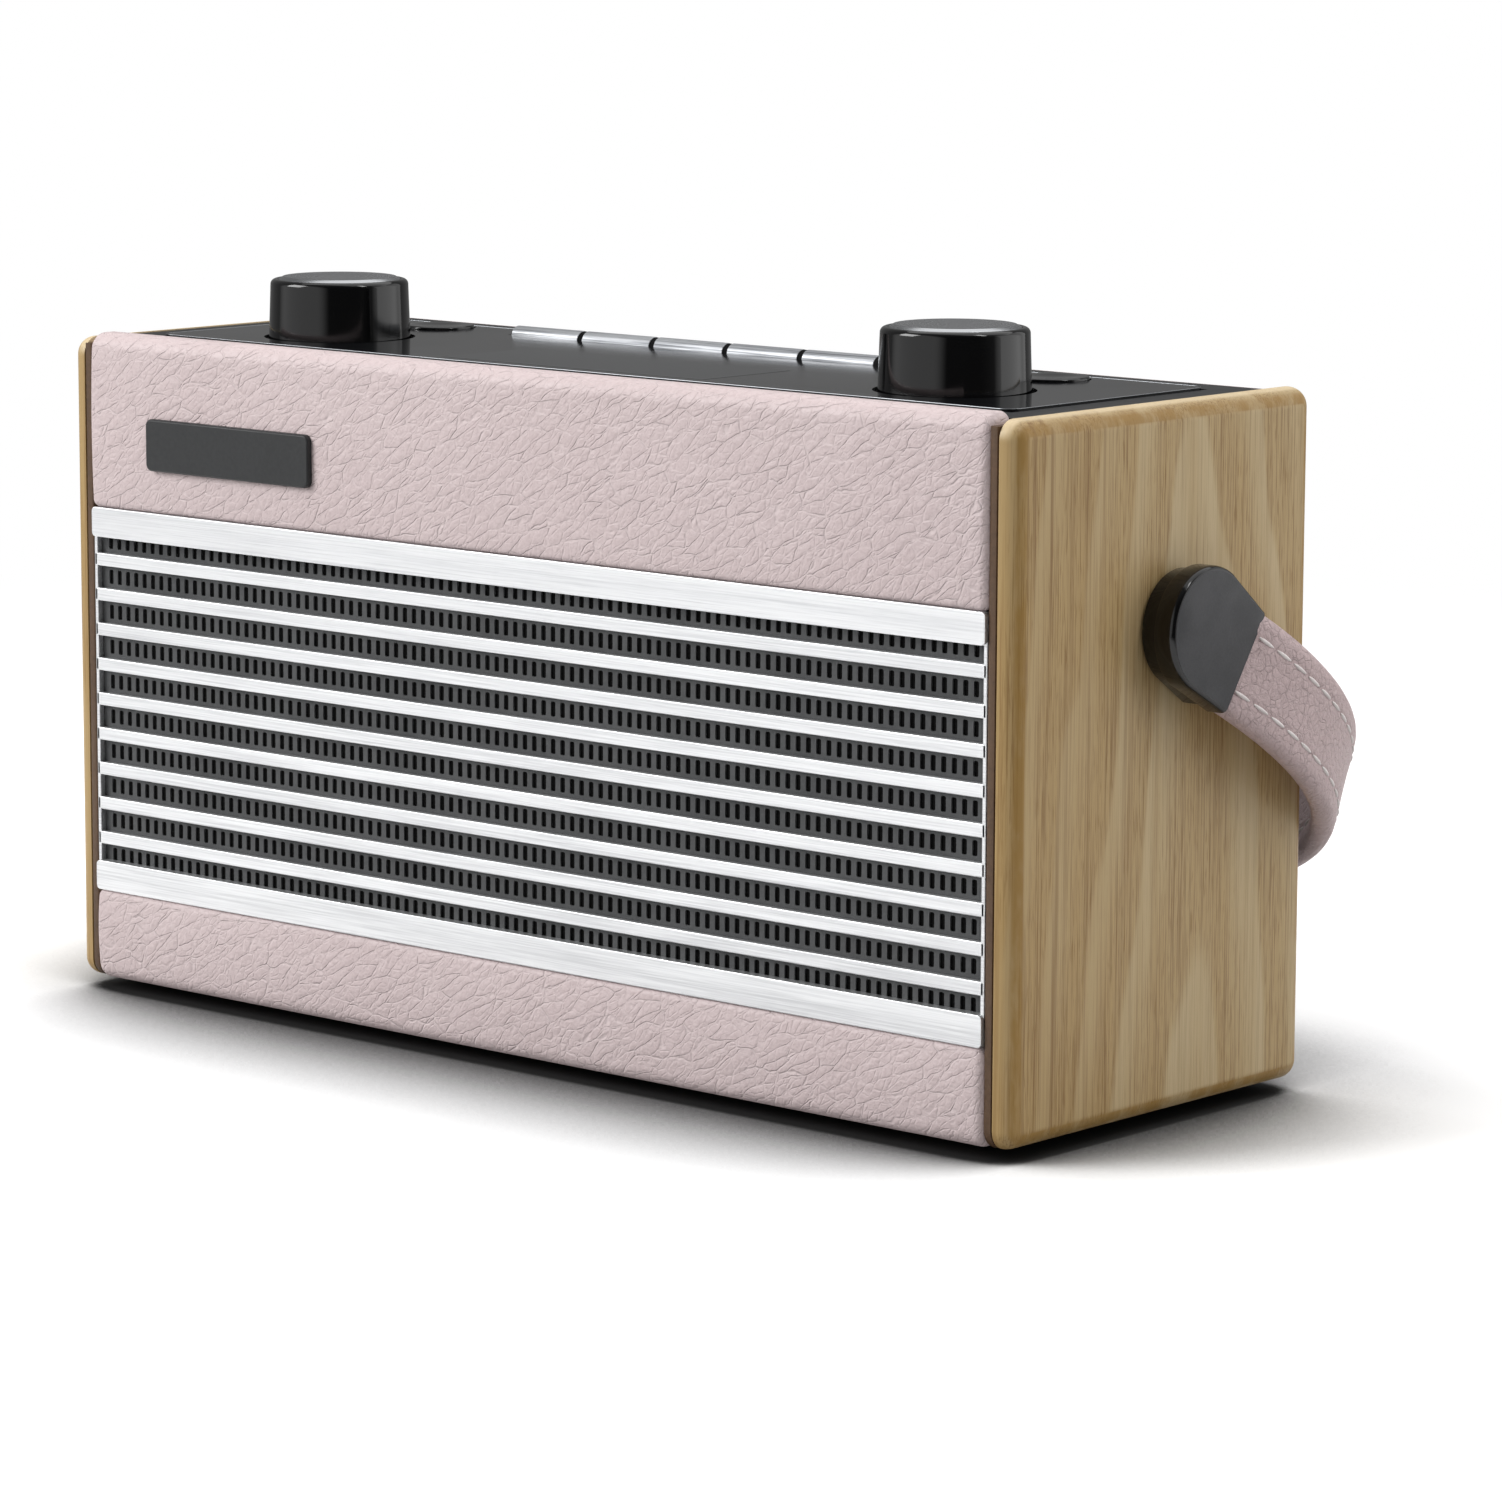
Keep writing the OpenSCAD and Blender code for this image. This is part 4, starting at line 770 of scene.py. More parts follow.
def arc(centre: Flat, radius: float, start: float, end: float, steps: int) -> list[Flat]:
    """Points of an arc.

    Args:
        centre: Middle of the arc.
        radius: Its radius.
        start: First angle in degrees.
        end: Last angle in degrees.
        steps: Number of steps.

    Returns:
        The points, both ends included.
    """
    points = []
    for k in range(steps + 1):
        angle = math.radians(start + (end - start) * k / steps)
        points.append((centre[0] + radius * math.cos(angle), centre[1] + radius * math.sin(angle)))
    return points


def round_rect(low: Flat, high: Flat, radius: float, steps: int = 8) -> list[Flat]:
    """Outline of a rectangle with rounded corners.

    Args:
        low: Lowest corner.
        high: Highest corner.
        radius: Corner radius.
        steps: Steps in each corner.

    Returns:
        The outline's points.
    """
    (x0, y0), (x1, y1) = low, high
    r = radius
    return (arc((x1 - r, y0 + r), r, -90, 0, steps) + arc((x1 - r, y1 - r), r, 0, 90, steps)
            + arc((x0 + r, y1 - r), r, 90, 180, steps) + arc((x0 + r, y0 + r), r, 180, 270, steps))


def soft_block(name: str, low: Sequence[float], high: Sequence[float], radius: float, steps: int = 4,
               keep: Callable[[Vector], bool] | None = None) -> Piece:
    """A block with rounded edges and even shading on its flat faces.

    Args:
        name: Name of the piece.
        low: Lowest corner in metres.
        high: Highest corner in metres.
        radius: Edge radius in metres.
        steps: Steps in each rounded edge.
        keep: Says of an edge's middle whether it stays sharp.

    Returns:
        The object.
    """
    low, high = Vector(low), Vector(high)
    work = bmesh.new()
    bmesh.ops.create_cube(work, size=1.0)
    for vert in work.verts:
        vert.co = Vector(low[k] + (vert.co[k] + 0.5) * (high[k] - low[k]) for k in range(3))
    edges = [edge for edge in work.edges
             if keep is None or not keep((edge.verts[0].co + edge.verts[1].co) / 2)]
    bmesh.ops.bevel(work, geom=edges, offset=radius, offset_type="OFFSET", segments=steps, profile=0.5,
                    affect="EDGES", clamp_overlap=True)
    bmesh.ops.recalc_face_normals(work, faces=work.faces)
    mesh = bpy.data.meshes.new(name)
    work.to_mesh(mesh)
    work.free()
    piece = shown(name, mesh, sharp=50.0)
    even_shading(piece)
    return piece


def even_shading(piece: Piece) -> None:
    """Weights the normals by face area, so that large flat faces shade evenly.

    Args:
        piece: Object to finish.
    """
    weighted = piece.modifiers.new("even_shading", "WEIGHTED_NORMAL")
    weighted.keep_sharp = True
    settle(piece)


def settle(piece: Piece) -> None:
    """Turns an object with modifiers into a plain mesh.

    Args:
        piece: Object whose modifiers are applied and removed.
    """
    bpy.context.view_layer.update()
    graph = bpy.context.evaluated_depsgraph_get()
    mesh = bpy.data.meshes.new_from_object(piece.evaluated_get(graph), preserve_all_data_layers=True,
                                           depsgraph=graph)
    old = piece.data
    piece.modifiers.clear()
    piece.data = mesh
    bpy.data.meshes.remove(old)


class NodeTree:
    """A Geometry Nodes tree with named inputs."""

    def __init__(self, name: str, inputs: dict[str, str]) -> None:
        """Makes the tree and its sockets.

        Args:
            name: Name of the tree.
            inputs: Socket type of each named input.
        """
        self.tree = bpy.data.node_groups.new(name, "GeometryNodeTree")
        interface = self.tree.interface
        interface.new_socket("Geometry", in_out="INPUT", socket_type="NodeSocketGeometry")
        self.ids = {}
        for key, kind in inputs.items():
            self.ids[key] = interface.new_socket(key, in_out="INPUT", socket_type=kind).identifier
        interface.new_socket("Geometry", in_out="OUTPUT", socket_type="NodeSocketGeometry")
        self.start = self.tree.nodes.new("NodeGroupInput")
        self.end = self.tree.nodes.new("NodeGroupOutput")

    def node(self, kind: str, links: dict[str, Socket], **settings: object) -> bpy.types.Node:
        """Adds a node and feeds its inputs.

        Args:
            kind: Blender's name of the node type.
            links: Source socket of each input.
            **settings: Properties of the node.

        Returns:
            The new node.
        """
        node = self.tree.nodes.new(kind)
        for key, value in settings.items():
            setattr(node, key, value)
        for key, source in links.items():
            self.tree.links.new(source, node.inputs[key])
        return node

    def close(self, geometry: Socket) -> None:
        """Ends the tree in Realize Instances and Set Material.

        Args:
            geometry: Geometry made by the tree.
        """
        real = self.node("GeometryNodeRealizeInstances", {"Geometry": geometry})
        dressed = self.node("GeometryNodeSetMaterial", {
            "Geometry": real.outputs[0], "Material": self.start.outputs["Finish"]})
        self.tree.links.new(dressed.outputs[0], self.end.inputs[0])

    def run(self, piece: Piece, values: dict[str, object]) -> None:
        """Runs the tree on an object and keeps the result as a plain mesh.

        Args:
            piece: Object whose mesh goes into the tree.
            values: Value of each named input.
        """
        modifier = piece.modifiers.new(self.tree.name, "NODES")
        modifier.node_group = self.tree
        for key, value in values.items():
            modifier[self.ids[key]] = value
        settle(piece)


class CopyRows(NodeTree):
    """Sets copies of a mesh in columns and rows."""

    def __init__(self) -> None:
        """Makes the tree."""
        super().__init__("copies_in_rows", {
            "Columns": "NodeSocketInt", "Column Step": "NodeSocketVector", "Rows": "NodeSocketInt",
            "Row Step": "NodeSocketVector", "Start": "NodeSocketVector", "Finish": "NodeSocketMaterial"})
        sockets = self.start.outputs
        columns = self.node("GeometryNodeMeshLine", {
            "Count": sockets["Columns"], "Offset": sockets["Column Step"],
            "Start Location": sockets["Start"]}, mode="OFFSET")
        rows = self.node("GeometryNodeMeshLine", {"Count": sockets["Rows"], "Offset": sockets["Row Step"]},
                         mode="OFFSET")
        row = self.node("GeometryNodeInstanceOnPoints", {"Points": columns.outputs[0],
                                                         "Instance": sockets["Geometry"]})
        solid = self.node("GeometryNodeRealizeInstances", {"Geometry": row.outputs[0]})
        grid = self.node("GeometryNodeInstanceOnPoints", {"Points": rows.outputs[0],
                                                          "Instance": solid.outputs[0]})
        self.close(grid.outputs[0])

    def spread(self, piece: Piece, finish: Finish, start: Sequence[float], columns: int,
               column_step: Sequence[float], rows: int = 1, row_step: Sequence[float] = (0, 0, 0)) -> None:
        """Spreads copies of an object's mesh.

        Args:
            piece: Object that holds one copy, drawn about the origin.
            finish: Finish of the copies.
            start: Place of the first copy.
            columns: Copies in a row.
            column_step: Step from one copy to the next.
            rows: Number of rows.
            row_step: Step from one row to the next.
        """
        self.run(piece, {
            "Columns": columns, "Column Step": list(column_step), "Rows": rows, "Row Step": list(row_step),
            "Start": list(start), "Finish": finish.material()})


class StitchLine(NodeTree):
    """Lays stitches along lines of edges."""

    def __init__(self) -> None:
        """Makes the tree."""
        super().__init__("stitches_on_lines", {
            "Pitch": "NodeSocketFloat", "Length": "NodeSocketFloat", "Thickness": "NodeSocketFloat",
            "Shift": "NodeSocketFloat", "Finish": "NodeSocketMaterial"})
        sockets = self.start.outputs
        curve = self.node("GeometryNodeMeshToCurve", {"Mesh": sockets["Geometry"]})
        spaced = self.node("GeometryNodeResampleCurve", {
            "Curve": curve.outputs[0], "Length": sockets["Pitch"]}, mode="LENGTH")
        stitch = self.node("GeometryNodeMeshUVSphere", {})
        stitch.inputs["Segments"].default_value = 8
        stitch.inputs["Rings"].default_value = 6
        stitch.inputs["Radius"].default_value = 0.5
        size = self.node("ShaderNodeCombineXYZ", {"X": sockets["Length"], "Y": sockets["Thickness"],
                                                  "Z": sockets["Thickness"]})
        tangent = self.node("GeometryNodeInputTangent", {})
        turn = self.node("FunctionNodeAlignRotationToVector", {"Vector": tangent.outputs[0]}, axis="X")
        laid = self.node("GeometryNodeInstanceOnPoints", {
            "Points": spaced.outputs[0], "Instance": stitch.outputs["Mesh"], "Rotation": turn.outputs[0],
            "Scale": size.outputs[0]})
        step = self.node("ShaderNodeCombineXYZ", {"X": sockets["Shift"]})
        moved = self.node("GeometryNodeTranslateInstances", {"Instances": laid.outputs[0],
                                                             "Translation": step.outputs[0]})
        self.close(moved.outputs[0])


class Assembly:
    """Base of the sub-assemblies: dresses pieces and sets them on their bodies."""

    body = "cabinet"

    def add(self, piece: Piece, finish: Finish, slot: Slot, *nodes: str, body: str = "") -> None:
        """Gives a piece its finish and its body.

        Args:
            piece: Object to dress.
            finish: Its finish.
            slot: Material slot of the record; not used.
            *nodes: CAD nodes that it stands for.
            body: Body that it rides on, if not the assembly's own.
        """
        piece.data.materials.clear()
        piece.data.materials.append(finish.material())
        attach(piece, body or self.body)
        if nodes:
            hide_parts(*nodes)
        LOG.info("%s: %d faces on %s", piece.name, len(piece.data.polygons), body or self.body)

    def dress(self, finish: Finish, *nodes: str) -> None:
        """Gives CAD nodes a finish.

        Args:
            finish: The finish.
            *nodes: Names of the nodes.
        """
        for name in nodes:
            node = frame["nodes"][name]
            if not node.material_slots:
                node.data.materials.append(finish.material())
            for place in node.material_slots:
                place.material = finish.material()
            LOG.info("%s: CAD node in %s", name, finish.name)

    def reach(self, node: str, sign: int) -> Flat:
        """Returns how near and how far a CAD node lies, to the left for -1 or the right for 1."""
        low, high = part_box(node)
        return (low.x, high.x) if sign > 0 else (-high.x, -low.x)


@dataclass
class Cabinet(Assembly):
    """Ash cheeks, brown end boards, base board and feet."""

    copies: CopyRows
    edge: float = 3.8 * MM
    lip_round: float = 0.45 * MM
    lip: float = 2.15 * MM
    lip_drop: float = 1.2 * MM
    groove: float = 0.35 * MM
    groove_depth: float = 1.2 * MM
    deck_gap: float = 0.1 * MM
    foot_r: float = 6 * MM
    foot_round: float = 0.8 * MM
    foot_dish: float = 0.35 * MM

    def build(self) -> None:
        """Builds the cabinet's wooden pieces."""
        for side, sign in (("left", -1), ("right", 1)):
            self.cheek(side, sign)
            self.end_board(side, sign)
        self.dress(BASE_WOOD, "base_board")
        self.feet()

    def cheek(self, side: str, sign: int) -> None:
        """Builds a cheek: a slab rounded over on its outer edges.

        Args:
            side: left or right.
            sign: -1 for the left and 1 for the right.
        """
        low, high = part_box(f"{side}_cheek")
        inner = low.x if sign > 0 else high.x
        piece = soft_block(f"{side}_ash_cheek", low, high, self.edge, 10,
                           lambda middle: abs(middle.x - inner) < TOUCH)
        self.add(piece, ASH, Slot.ASH, f"{side}_cheek")

    def end_board(self, side: str, sign: int) -> None:
        """Builds an end board with a rounded lip beside the leather.

        Args:
            side: left or right.
            sign: -1 for the left and 1 for the right.
        """
        low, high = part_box(f"{side}_end_board")
        inner, cheek = self.reach(f"{side}_end_board", sign)
        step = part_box("front_top_rail")[1].y
        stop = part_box("top_panel")[0].y - self.deck_gap
        ledge = frame_floor()
        lip, groove = cheek - self.lip, cheek - self.groove
        r = self.lip_round
        fine = r * 0.3
        corner = [low.z + self.edge * (1 - math.cos(math.radians(15 * k))) for k in range(7)]
        full = [(z, high.y, inner, step) for z in corner + [ledge]]
        lip_only = [(z, stop, lip, stop) for z in (ledge, high.z - self.lip_drop)]
        rings = []
        for z, back, inside, behind in full + lip_only:
            drop = max(0.0, self.edge - (z - low.z))
            front = low.y + self.edge - math.sqrt(max(0.0, self.edge ** 2 - drop ** 2))
            sunk = front + self.groove_depth
            outline = (arc((lip + r, front + r), r, 180, 270, 5)
                       + arc((groove - fine, front + fine), fine, 270, 360, 3)
                       + [(groove, sunk), (cheek, sunk), (cheek, back), (inside, back), (inside, behind),
                          (lip, behind)])
            rings.append([(sign * x, y, z) for x, y in outline])
        self.add(loft(f"{side}_brown_board", rings), BROWN_BOARD, Slot.BROWN, f"{side}_end_board")

    def feet(self) -> None:
        """Builds the four rubber feet as copies of one."""
        low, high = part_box("feet")
        radius, r, dish = self.foot_r, self.foot_round, self.foot_dish
        profile = ([(0.0, dish), (radius * 0.5, dish), (radius * 0.56, 0.0)]
                   + arc((radius - r, r), r, -90, 0, 5) + [(radius, high.z), (0.0, high.z)])
        foot = lathe("rubber_feet", profile, (0, 0, 0), steps=40)
        width = high.x - low.x - 2 * radius
        depth = high.y - low.y - 2 * radius
        start = (low.x + radius, low.y + radius, 0)
        self.copies.spread(foot, FOOT_RUBBER, start, 2, (width, 0, 0), 2, (0, depth, 0))
        self.add(foot, FOOT_RUBBER, Slot.RUBBER, "feet")


def frame_floor() -> float:
    """Returns the height of the ledge that the deck moulding lies on."""
    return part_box("right_end_board")[1].z - LEDGE_DROP


@dataclass
class LeatherRails(Assembly):
    """Boards wrapped in leathercloth, which is rolled over their edges."""

    roll: float = 3.5 * MM
    tuck: float = 1.4 * MM
    end_roll: float = 1.9 * MM
    end_steps: int = 7
    spans: int = 20
    crown: float = 0.35 * MM
    crown_steps: int = 12
    shoulder: float = 0.9 * MM
    rear_drop: float = 0.7 * MM
    shrink: float = 0.6
    least: float = 0.2 * MM

    def build(self) -> None:
        """Builds the four rails."""
        self.wrap("front_top", -1, True)
        self.wrap("front_bottom", -1, False)
        self.wrap("rear_bottom", 1, False)
        self.wrap("rear_top", 1, True)

    def wrap(self, name: str, sign: int, decked: bool) -> None:
        """Sweeps a section along a rail and rolls it in at both ends.

        Args:
            name: Place of the rail.
            sign: -1 where the outer face looks to the front and 1 to the back.
            decked: Whether the rail has a rabbet for the deck.
        """
        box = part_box(f"{name}_rail")
        r = self.end_roll
        end = box[1].x
        half = []
        for k in range(self.end_steps + 1):
            angle = math.radians(90 - 90 * k / self.end_steps)
            half.append((-end + r - r * math.sin(angle), r - r * math.cos(angle)))
        stations = half + [((-end + r) * (1 - 2 * k / self.spans), 0.0) for k in range(1, self.spans)]
        stations += [(-x, inset) for x, inset in reversed(half)]
        section = self.decked_section if decked else self.plain_section
        rings = [[(x, -sign * y, z) for y, z in section(box, inset, sign)] for x, inset in stations]
        rail = loft(f"{name}_leather", rings, sharp=60.0)
        self.add(rail, RAIL_LEATHER, Slot.LEATHER, f"{name}_rail")

    def sides(self, box: Box, sign: int) -> Flat:
        """Returns a box's front and back along Y, or both mirrored where sign is 1."""
        low, high = box
        return (low.y, high.y) if sign < 0 else (-high.y, -low.y)

    def drawn_in(self, radius: float, inset: float) -> float:
        """Returns a radius of the section where the section is drawn in."""
        return max(radius - inset * self.shrink, self.least)

    def face(self, y: float, bottom: float, top: float) -> list[Flat]:
        """Points up a padded face, crowned towards its middle.

        Args:
            y: Place of the face.
            bottom: Lower end.
            top: Upper end.

        Returns:
            Points of (y, z) from the bottom to the top.
        """
        points = []
        for k in range(1, self.crown_steps):
            share = k / self.crown_steps
            points.append((y - self.crown * 4 * share * (1 - share), bottom + (top - bottom) * share))
        return points

    def decked_section(self, box: Box, inset: float, sign: int) -> list[Flat]:
        """Section of a top rail, with a rabbet for the deck.

        Args:
            box: Corners of the rail.
            inset: How far the section is drawn in.
            sign: -1 where the outer face looks to the front and 1 to the back.

        Returns:
            Points of (y, z), as if the rail stood at the front.
        """
        face, back = self.sides(box, sign)
        lip = self.sides(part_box("top_panel"), sign)[0]
        floor = frame_floor()
        y, bottom = face + inset, box[0].z + inset
        top = box[1].z - (self.rear_drop if sign > 0 else 0.0) - inset
        roll, tuck, edge = self.drawn_in(self.roll, inset), self.drawn_in(self.tuck, inset), self.shoulder
        return (arc((y + tuck, bottom + tuck), tuck, -90, -180, 5) + self.face(y, bottom + tuck, top - roll)
                + arc((y + roll, top - roll), roll, 180, 90, 10)
                + arc((lip - edge, top - edge), edge, 90, 0, 5)
                + [(lip, floor), (back, floor), (back, bottom)])

    def plain_section(self, box: Box, inset: float, sign: int) -> list[Flat]:
        """Section of a bottom rail.

        Args:
            box: Corners of the rail.
            inset: How far the section is drawn in.
            sign: -1 where the outer face looks to the front and 1 to the back.

        Returns:
            Points of (y, z), as if the rail stood at the front.
        """
        face, back = self.sides(box, sign)
        y, bottom, top = face + inset, box[0].z + inset, box[1].z - inset
        roll, tuck = self.drawn_in(self.roll, inset), self.drawn_in(self.tuck, inset)
        return (arc((y + roll, bottom + roll), roll, -90, -180, 8) + self.face(y, bottom + roll, top - tuck)
                + arc((y + tuck, top - tuck), tuck, 180, 90, 8) + [(back, top), (back, bottom)])


@dataclass
class Grille(Assembly):
    """Aluminium bars over a slotted screen."""

    copies: CopyRows
    thin_bars: int = 9
    pitch: float = 7.4 * MM
    thin: float = 2.75 * MM
    thin_round: float = 0.28 * MM
    wide: float = 6.3 * MM
    strip: float = 0.9 * MM
    strip_round: float = 0.2 * MM
    step: float = 0.8 * MM
    slots: int = 93
    slot_pitch: float = 2.54 * MM
    slot_w: float = 1.25 * MM
    slot_h: float = 3.0 * MM
    slot_round: float = 0.32 * MM
    reach: float = 0.35 * MM
    sheet: float = 0.4 * MM
    cloth: float = 0.3 * MM

    def build(self) -> None:
        """Builds the bars, the screen and the cloth behind it."""
        low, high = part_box("grille_slats")
        low.x -= self.reach
        high.x += self.reach
        self.bars(low, high)
        self.screen(low, high)
        self.dress(DECK_BLACK, "baffle")

    def bars(self, low: Vector, high: Vector) -> None:
        """Builds the thin bars, the wide bars and the strips at their ends.

        Args:
            low: Lowest corner of the grille.
            high: Highest corner of the grille.
        """
        middle = (low.z + high.z) / 2
        front = low.y + self.step
        half = self.thin / 2
        bar = soft_block("grille_thin_bars", (low.x, front, -half), (high.x, high.y, half),
                         self.thin_round, 3)
        start = (0, 0, middle - (self.thin_bars - 1) / 2 * self.pitch)
        self.copies.spread(bar, BRIGHT_BARS, start, self.thin_bars, (0, 0, self.pitch))
        self.add(bar, BRIGHT_BARS, Slot.ALUMINIUM, "grille_slats")
        wide = self.wide_bar(low, high)
        self.copies.spread(wide, BRIGHT_BARS, (0, 0, low.z), 2, (0, 0, high.z - low.z - self.wide))
        self.add(wide, BRIGHT_BARS, Slot.ALUMINIUM)
        half, tuck = self.strip / 2, self.wide * 0.6
        strip = soft_block("grille_end_strips", (-half, front, low.z + tuck), (half, high.y, high.z - tuck),
                           self.strip_round, 2)
        self.copies.spread(strip, BRIGHT_BARS, (low.x + half, 0, 0), 2, (high.x - low.x - self.strip, 0, 0))
        self.add(strip, BRIGHT_BARS, Slot.ALUMINIUM)

    def wide_bar(self, low: Vector, high: Vector) -> Piece:
        """Makes a wide bar with rounded corners and a softened front edge.

        Args:
            low: Lowest corner of the grille.
            high: Highest corner of the grille.

        Returns:
            The object, with its lower edge at height 0.
        """
        rings = []
        for inset, corner, y in ((0.0, 1.0 * MM, high.y), (0.0, 1.0 * MM, low.y + 0.3 * MM),
                                 (0.08 * MM, 0.92 * MM, low.y + 0.09 * MM), (0.3 * MM, 0.75 * MM, low.y)):
            points = round_rect((low.x + inset, inset), (high.x - inset, self.wide - inset), corner, 6)
            rings.append([(x, y, z) for x, z in points])
        bar = loft("grille_wide_bars", rings, sharp=40.0)
        even_shading(bar)
        return bar

    def screen(self, low: Vector, high: Vector) -> None:
        """Builds the slotted screen from copies of one slot, and the cloth behind it.

        Args:
            low: Lowest corner of the grille.
            high: Highest corner of the grille.
        """
        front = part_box("grille_shutter")[0].y
        back = front + self.sheet
        rows = self.thin_bars + 1
        middle = (low.z + high.z) / 2
        piece = self.slot_cell(front, back)
        start = (-(self.slots - 1) / 2 * self.slot_pitch, 0, middle - (rows - 1) / 2 * self.pitch)
        self.copies.spread(piece, SCREEN_GREY, start, self.slots, (self.slot_pitch, 0, 0), rows,
                           (0, 0, self.pitch))
        self.add(piece, SCREEN_GREY, Slot.MESH, "grille_screen", "grille_shutter")
        reach = self.slots / 2 * self.slot_pitch
        half = (high.x - reach) / 2
        margin = soft_block("grille_screen_margins", (-half, front, low.z), (half, back, high.z),
                            0.05 * MM, 1)
        self.copies.spread(margin, SCREEN_GREY, (-(high.x + reach) / 2, 0, 0), 2, (high.x + reach, 0, 0))
        self.add(margin, SCREEN_GREY, Slot.MESH)
        cloth = soft_block("speaker_cloth", (low.x, back - 0.02 * MM, low.z),
                           (high.x, back + self.cloth, high.z), 0.03 * MM, 1)
        self.add(cloth, SLOT_CLOTH, Slot.MATTE)

    def slot_cell(self, front: float, back: float) -> Piece:
        """Makes one slot with the plate round it.

        Args:
            front: Place of the plate's face.
            back: Place of the slot's far edge.

        Returns:
            The object, drawn about the origin.
        """
        width, height = self.slot_pitch / 2, self.pitch / 2
        half_w, half_h = self.slot_w / 2, self.slot_h / 2
        hole = round_rect((-half_w, -half_h), (half_w, half_h), self.slot_round, 2)
        rim = []
        for x, z in hole:
            reach = min(width / max(abs(x), TINY), height / max(abs(z), TINY))
            rim.append((x * reach, z * reach))
        size = len(hole)
        verts = [(x, y, z) for points, y in ((rim, front), (hole, front), (hole, back)) for x, z in points]
        faces = []
        for a, b in ((0, size), (size, 2 * size)):
            faces += [(a + k, a + (k + 1) % size, b + (k + 1) % size, b + k) for k in range(size)]
        for k in range(size):
            (x0, z0), (x1, z1) = rim[k], rim[(k + 1) % size]
            if abs(x0 - x1) > TINY and abs(z0 - z1) > TINY:
                faces.append((k, len(verts), (k + 1) % size))
                verts.append((math.copysign(width, x0 + x1), front, math.copysign(height, z0 + z1)))
        mesh = bpy.data.meshes.new("grille_slot_screen")
        mesh.from_pydata(verts, [], faces)
        work = bmesh.new()
        work.from_mesh(mesh)
        for face in work.faces:
            face.normal_update()
            middle = face.calc_center_median()
            inward = Vector((-middle.x, 0, -middle.z))
            aim = Vector((0, -1, 0)) if abs(face.normal.y) > 0.5 else inward
            if face.normal.dot(aim) < 0:
                face.normal_flip()
        work.to_mesh(mesh)
        work.free()
        return shown("grille_slot_screen", mesh, sharp=30.0)


@dataclass
class Badge(Assembly):
    """Bare badge plate on the top rail."""

    corner: float = 1.5 * MM
    bevel: float = 0.45 * MM
    shrink: float = 0.6

    def build(self) -> None:
        """Builds the plate with a bevelled edge."""
        low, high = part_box("badge_plate")
        rings = []
        for share in (0.0, 0.0, 0.35, 0.75, 1.0):
            inset = self.bevel * (1 - math.cos(share * math.pi / 2))
            y = high.y if not rings else low.y + self.bevel * (1 - math.sin(share * math.pi / 2))
            points = round_rect((low.x + inset, low.z + inset), (high.x - inset, high.z - inset),
                                self.corner - inset * self.shrink, 8)
            rings.append([(x, y, z) for x, z in points])
        plate = loft("badge_plate_bare", rings, sharp=40.0)
        even_shading(plate)
        self.add(plate, BADGE_BLACK, Slot.GLOSS, "badge_plate")


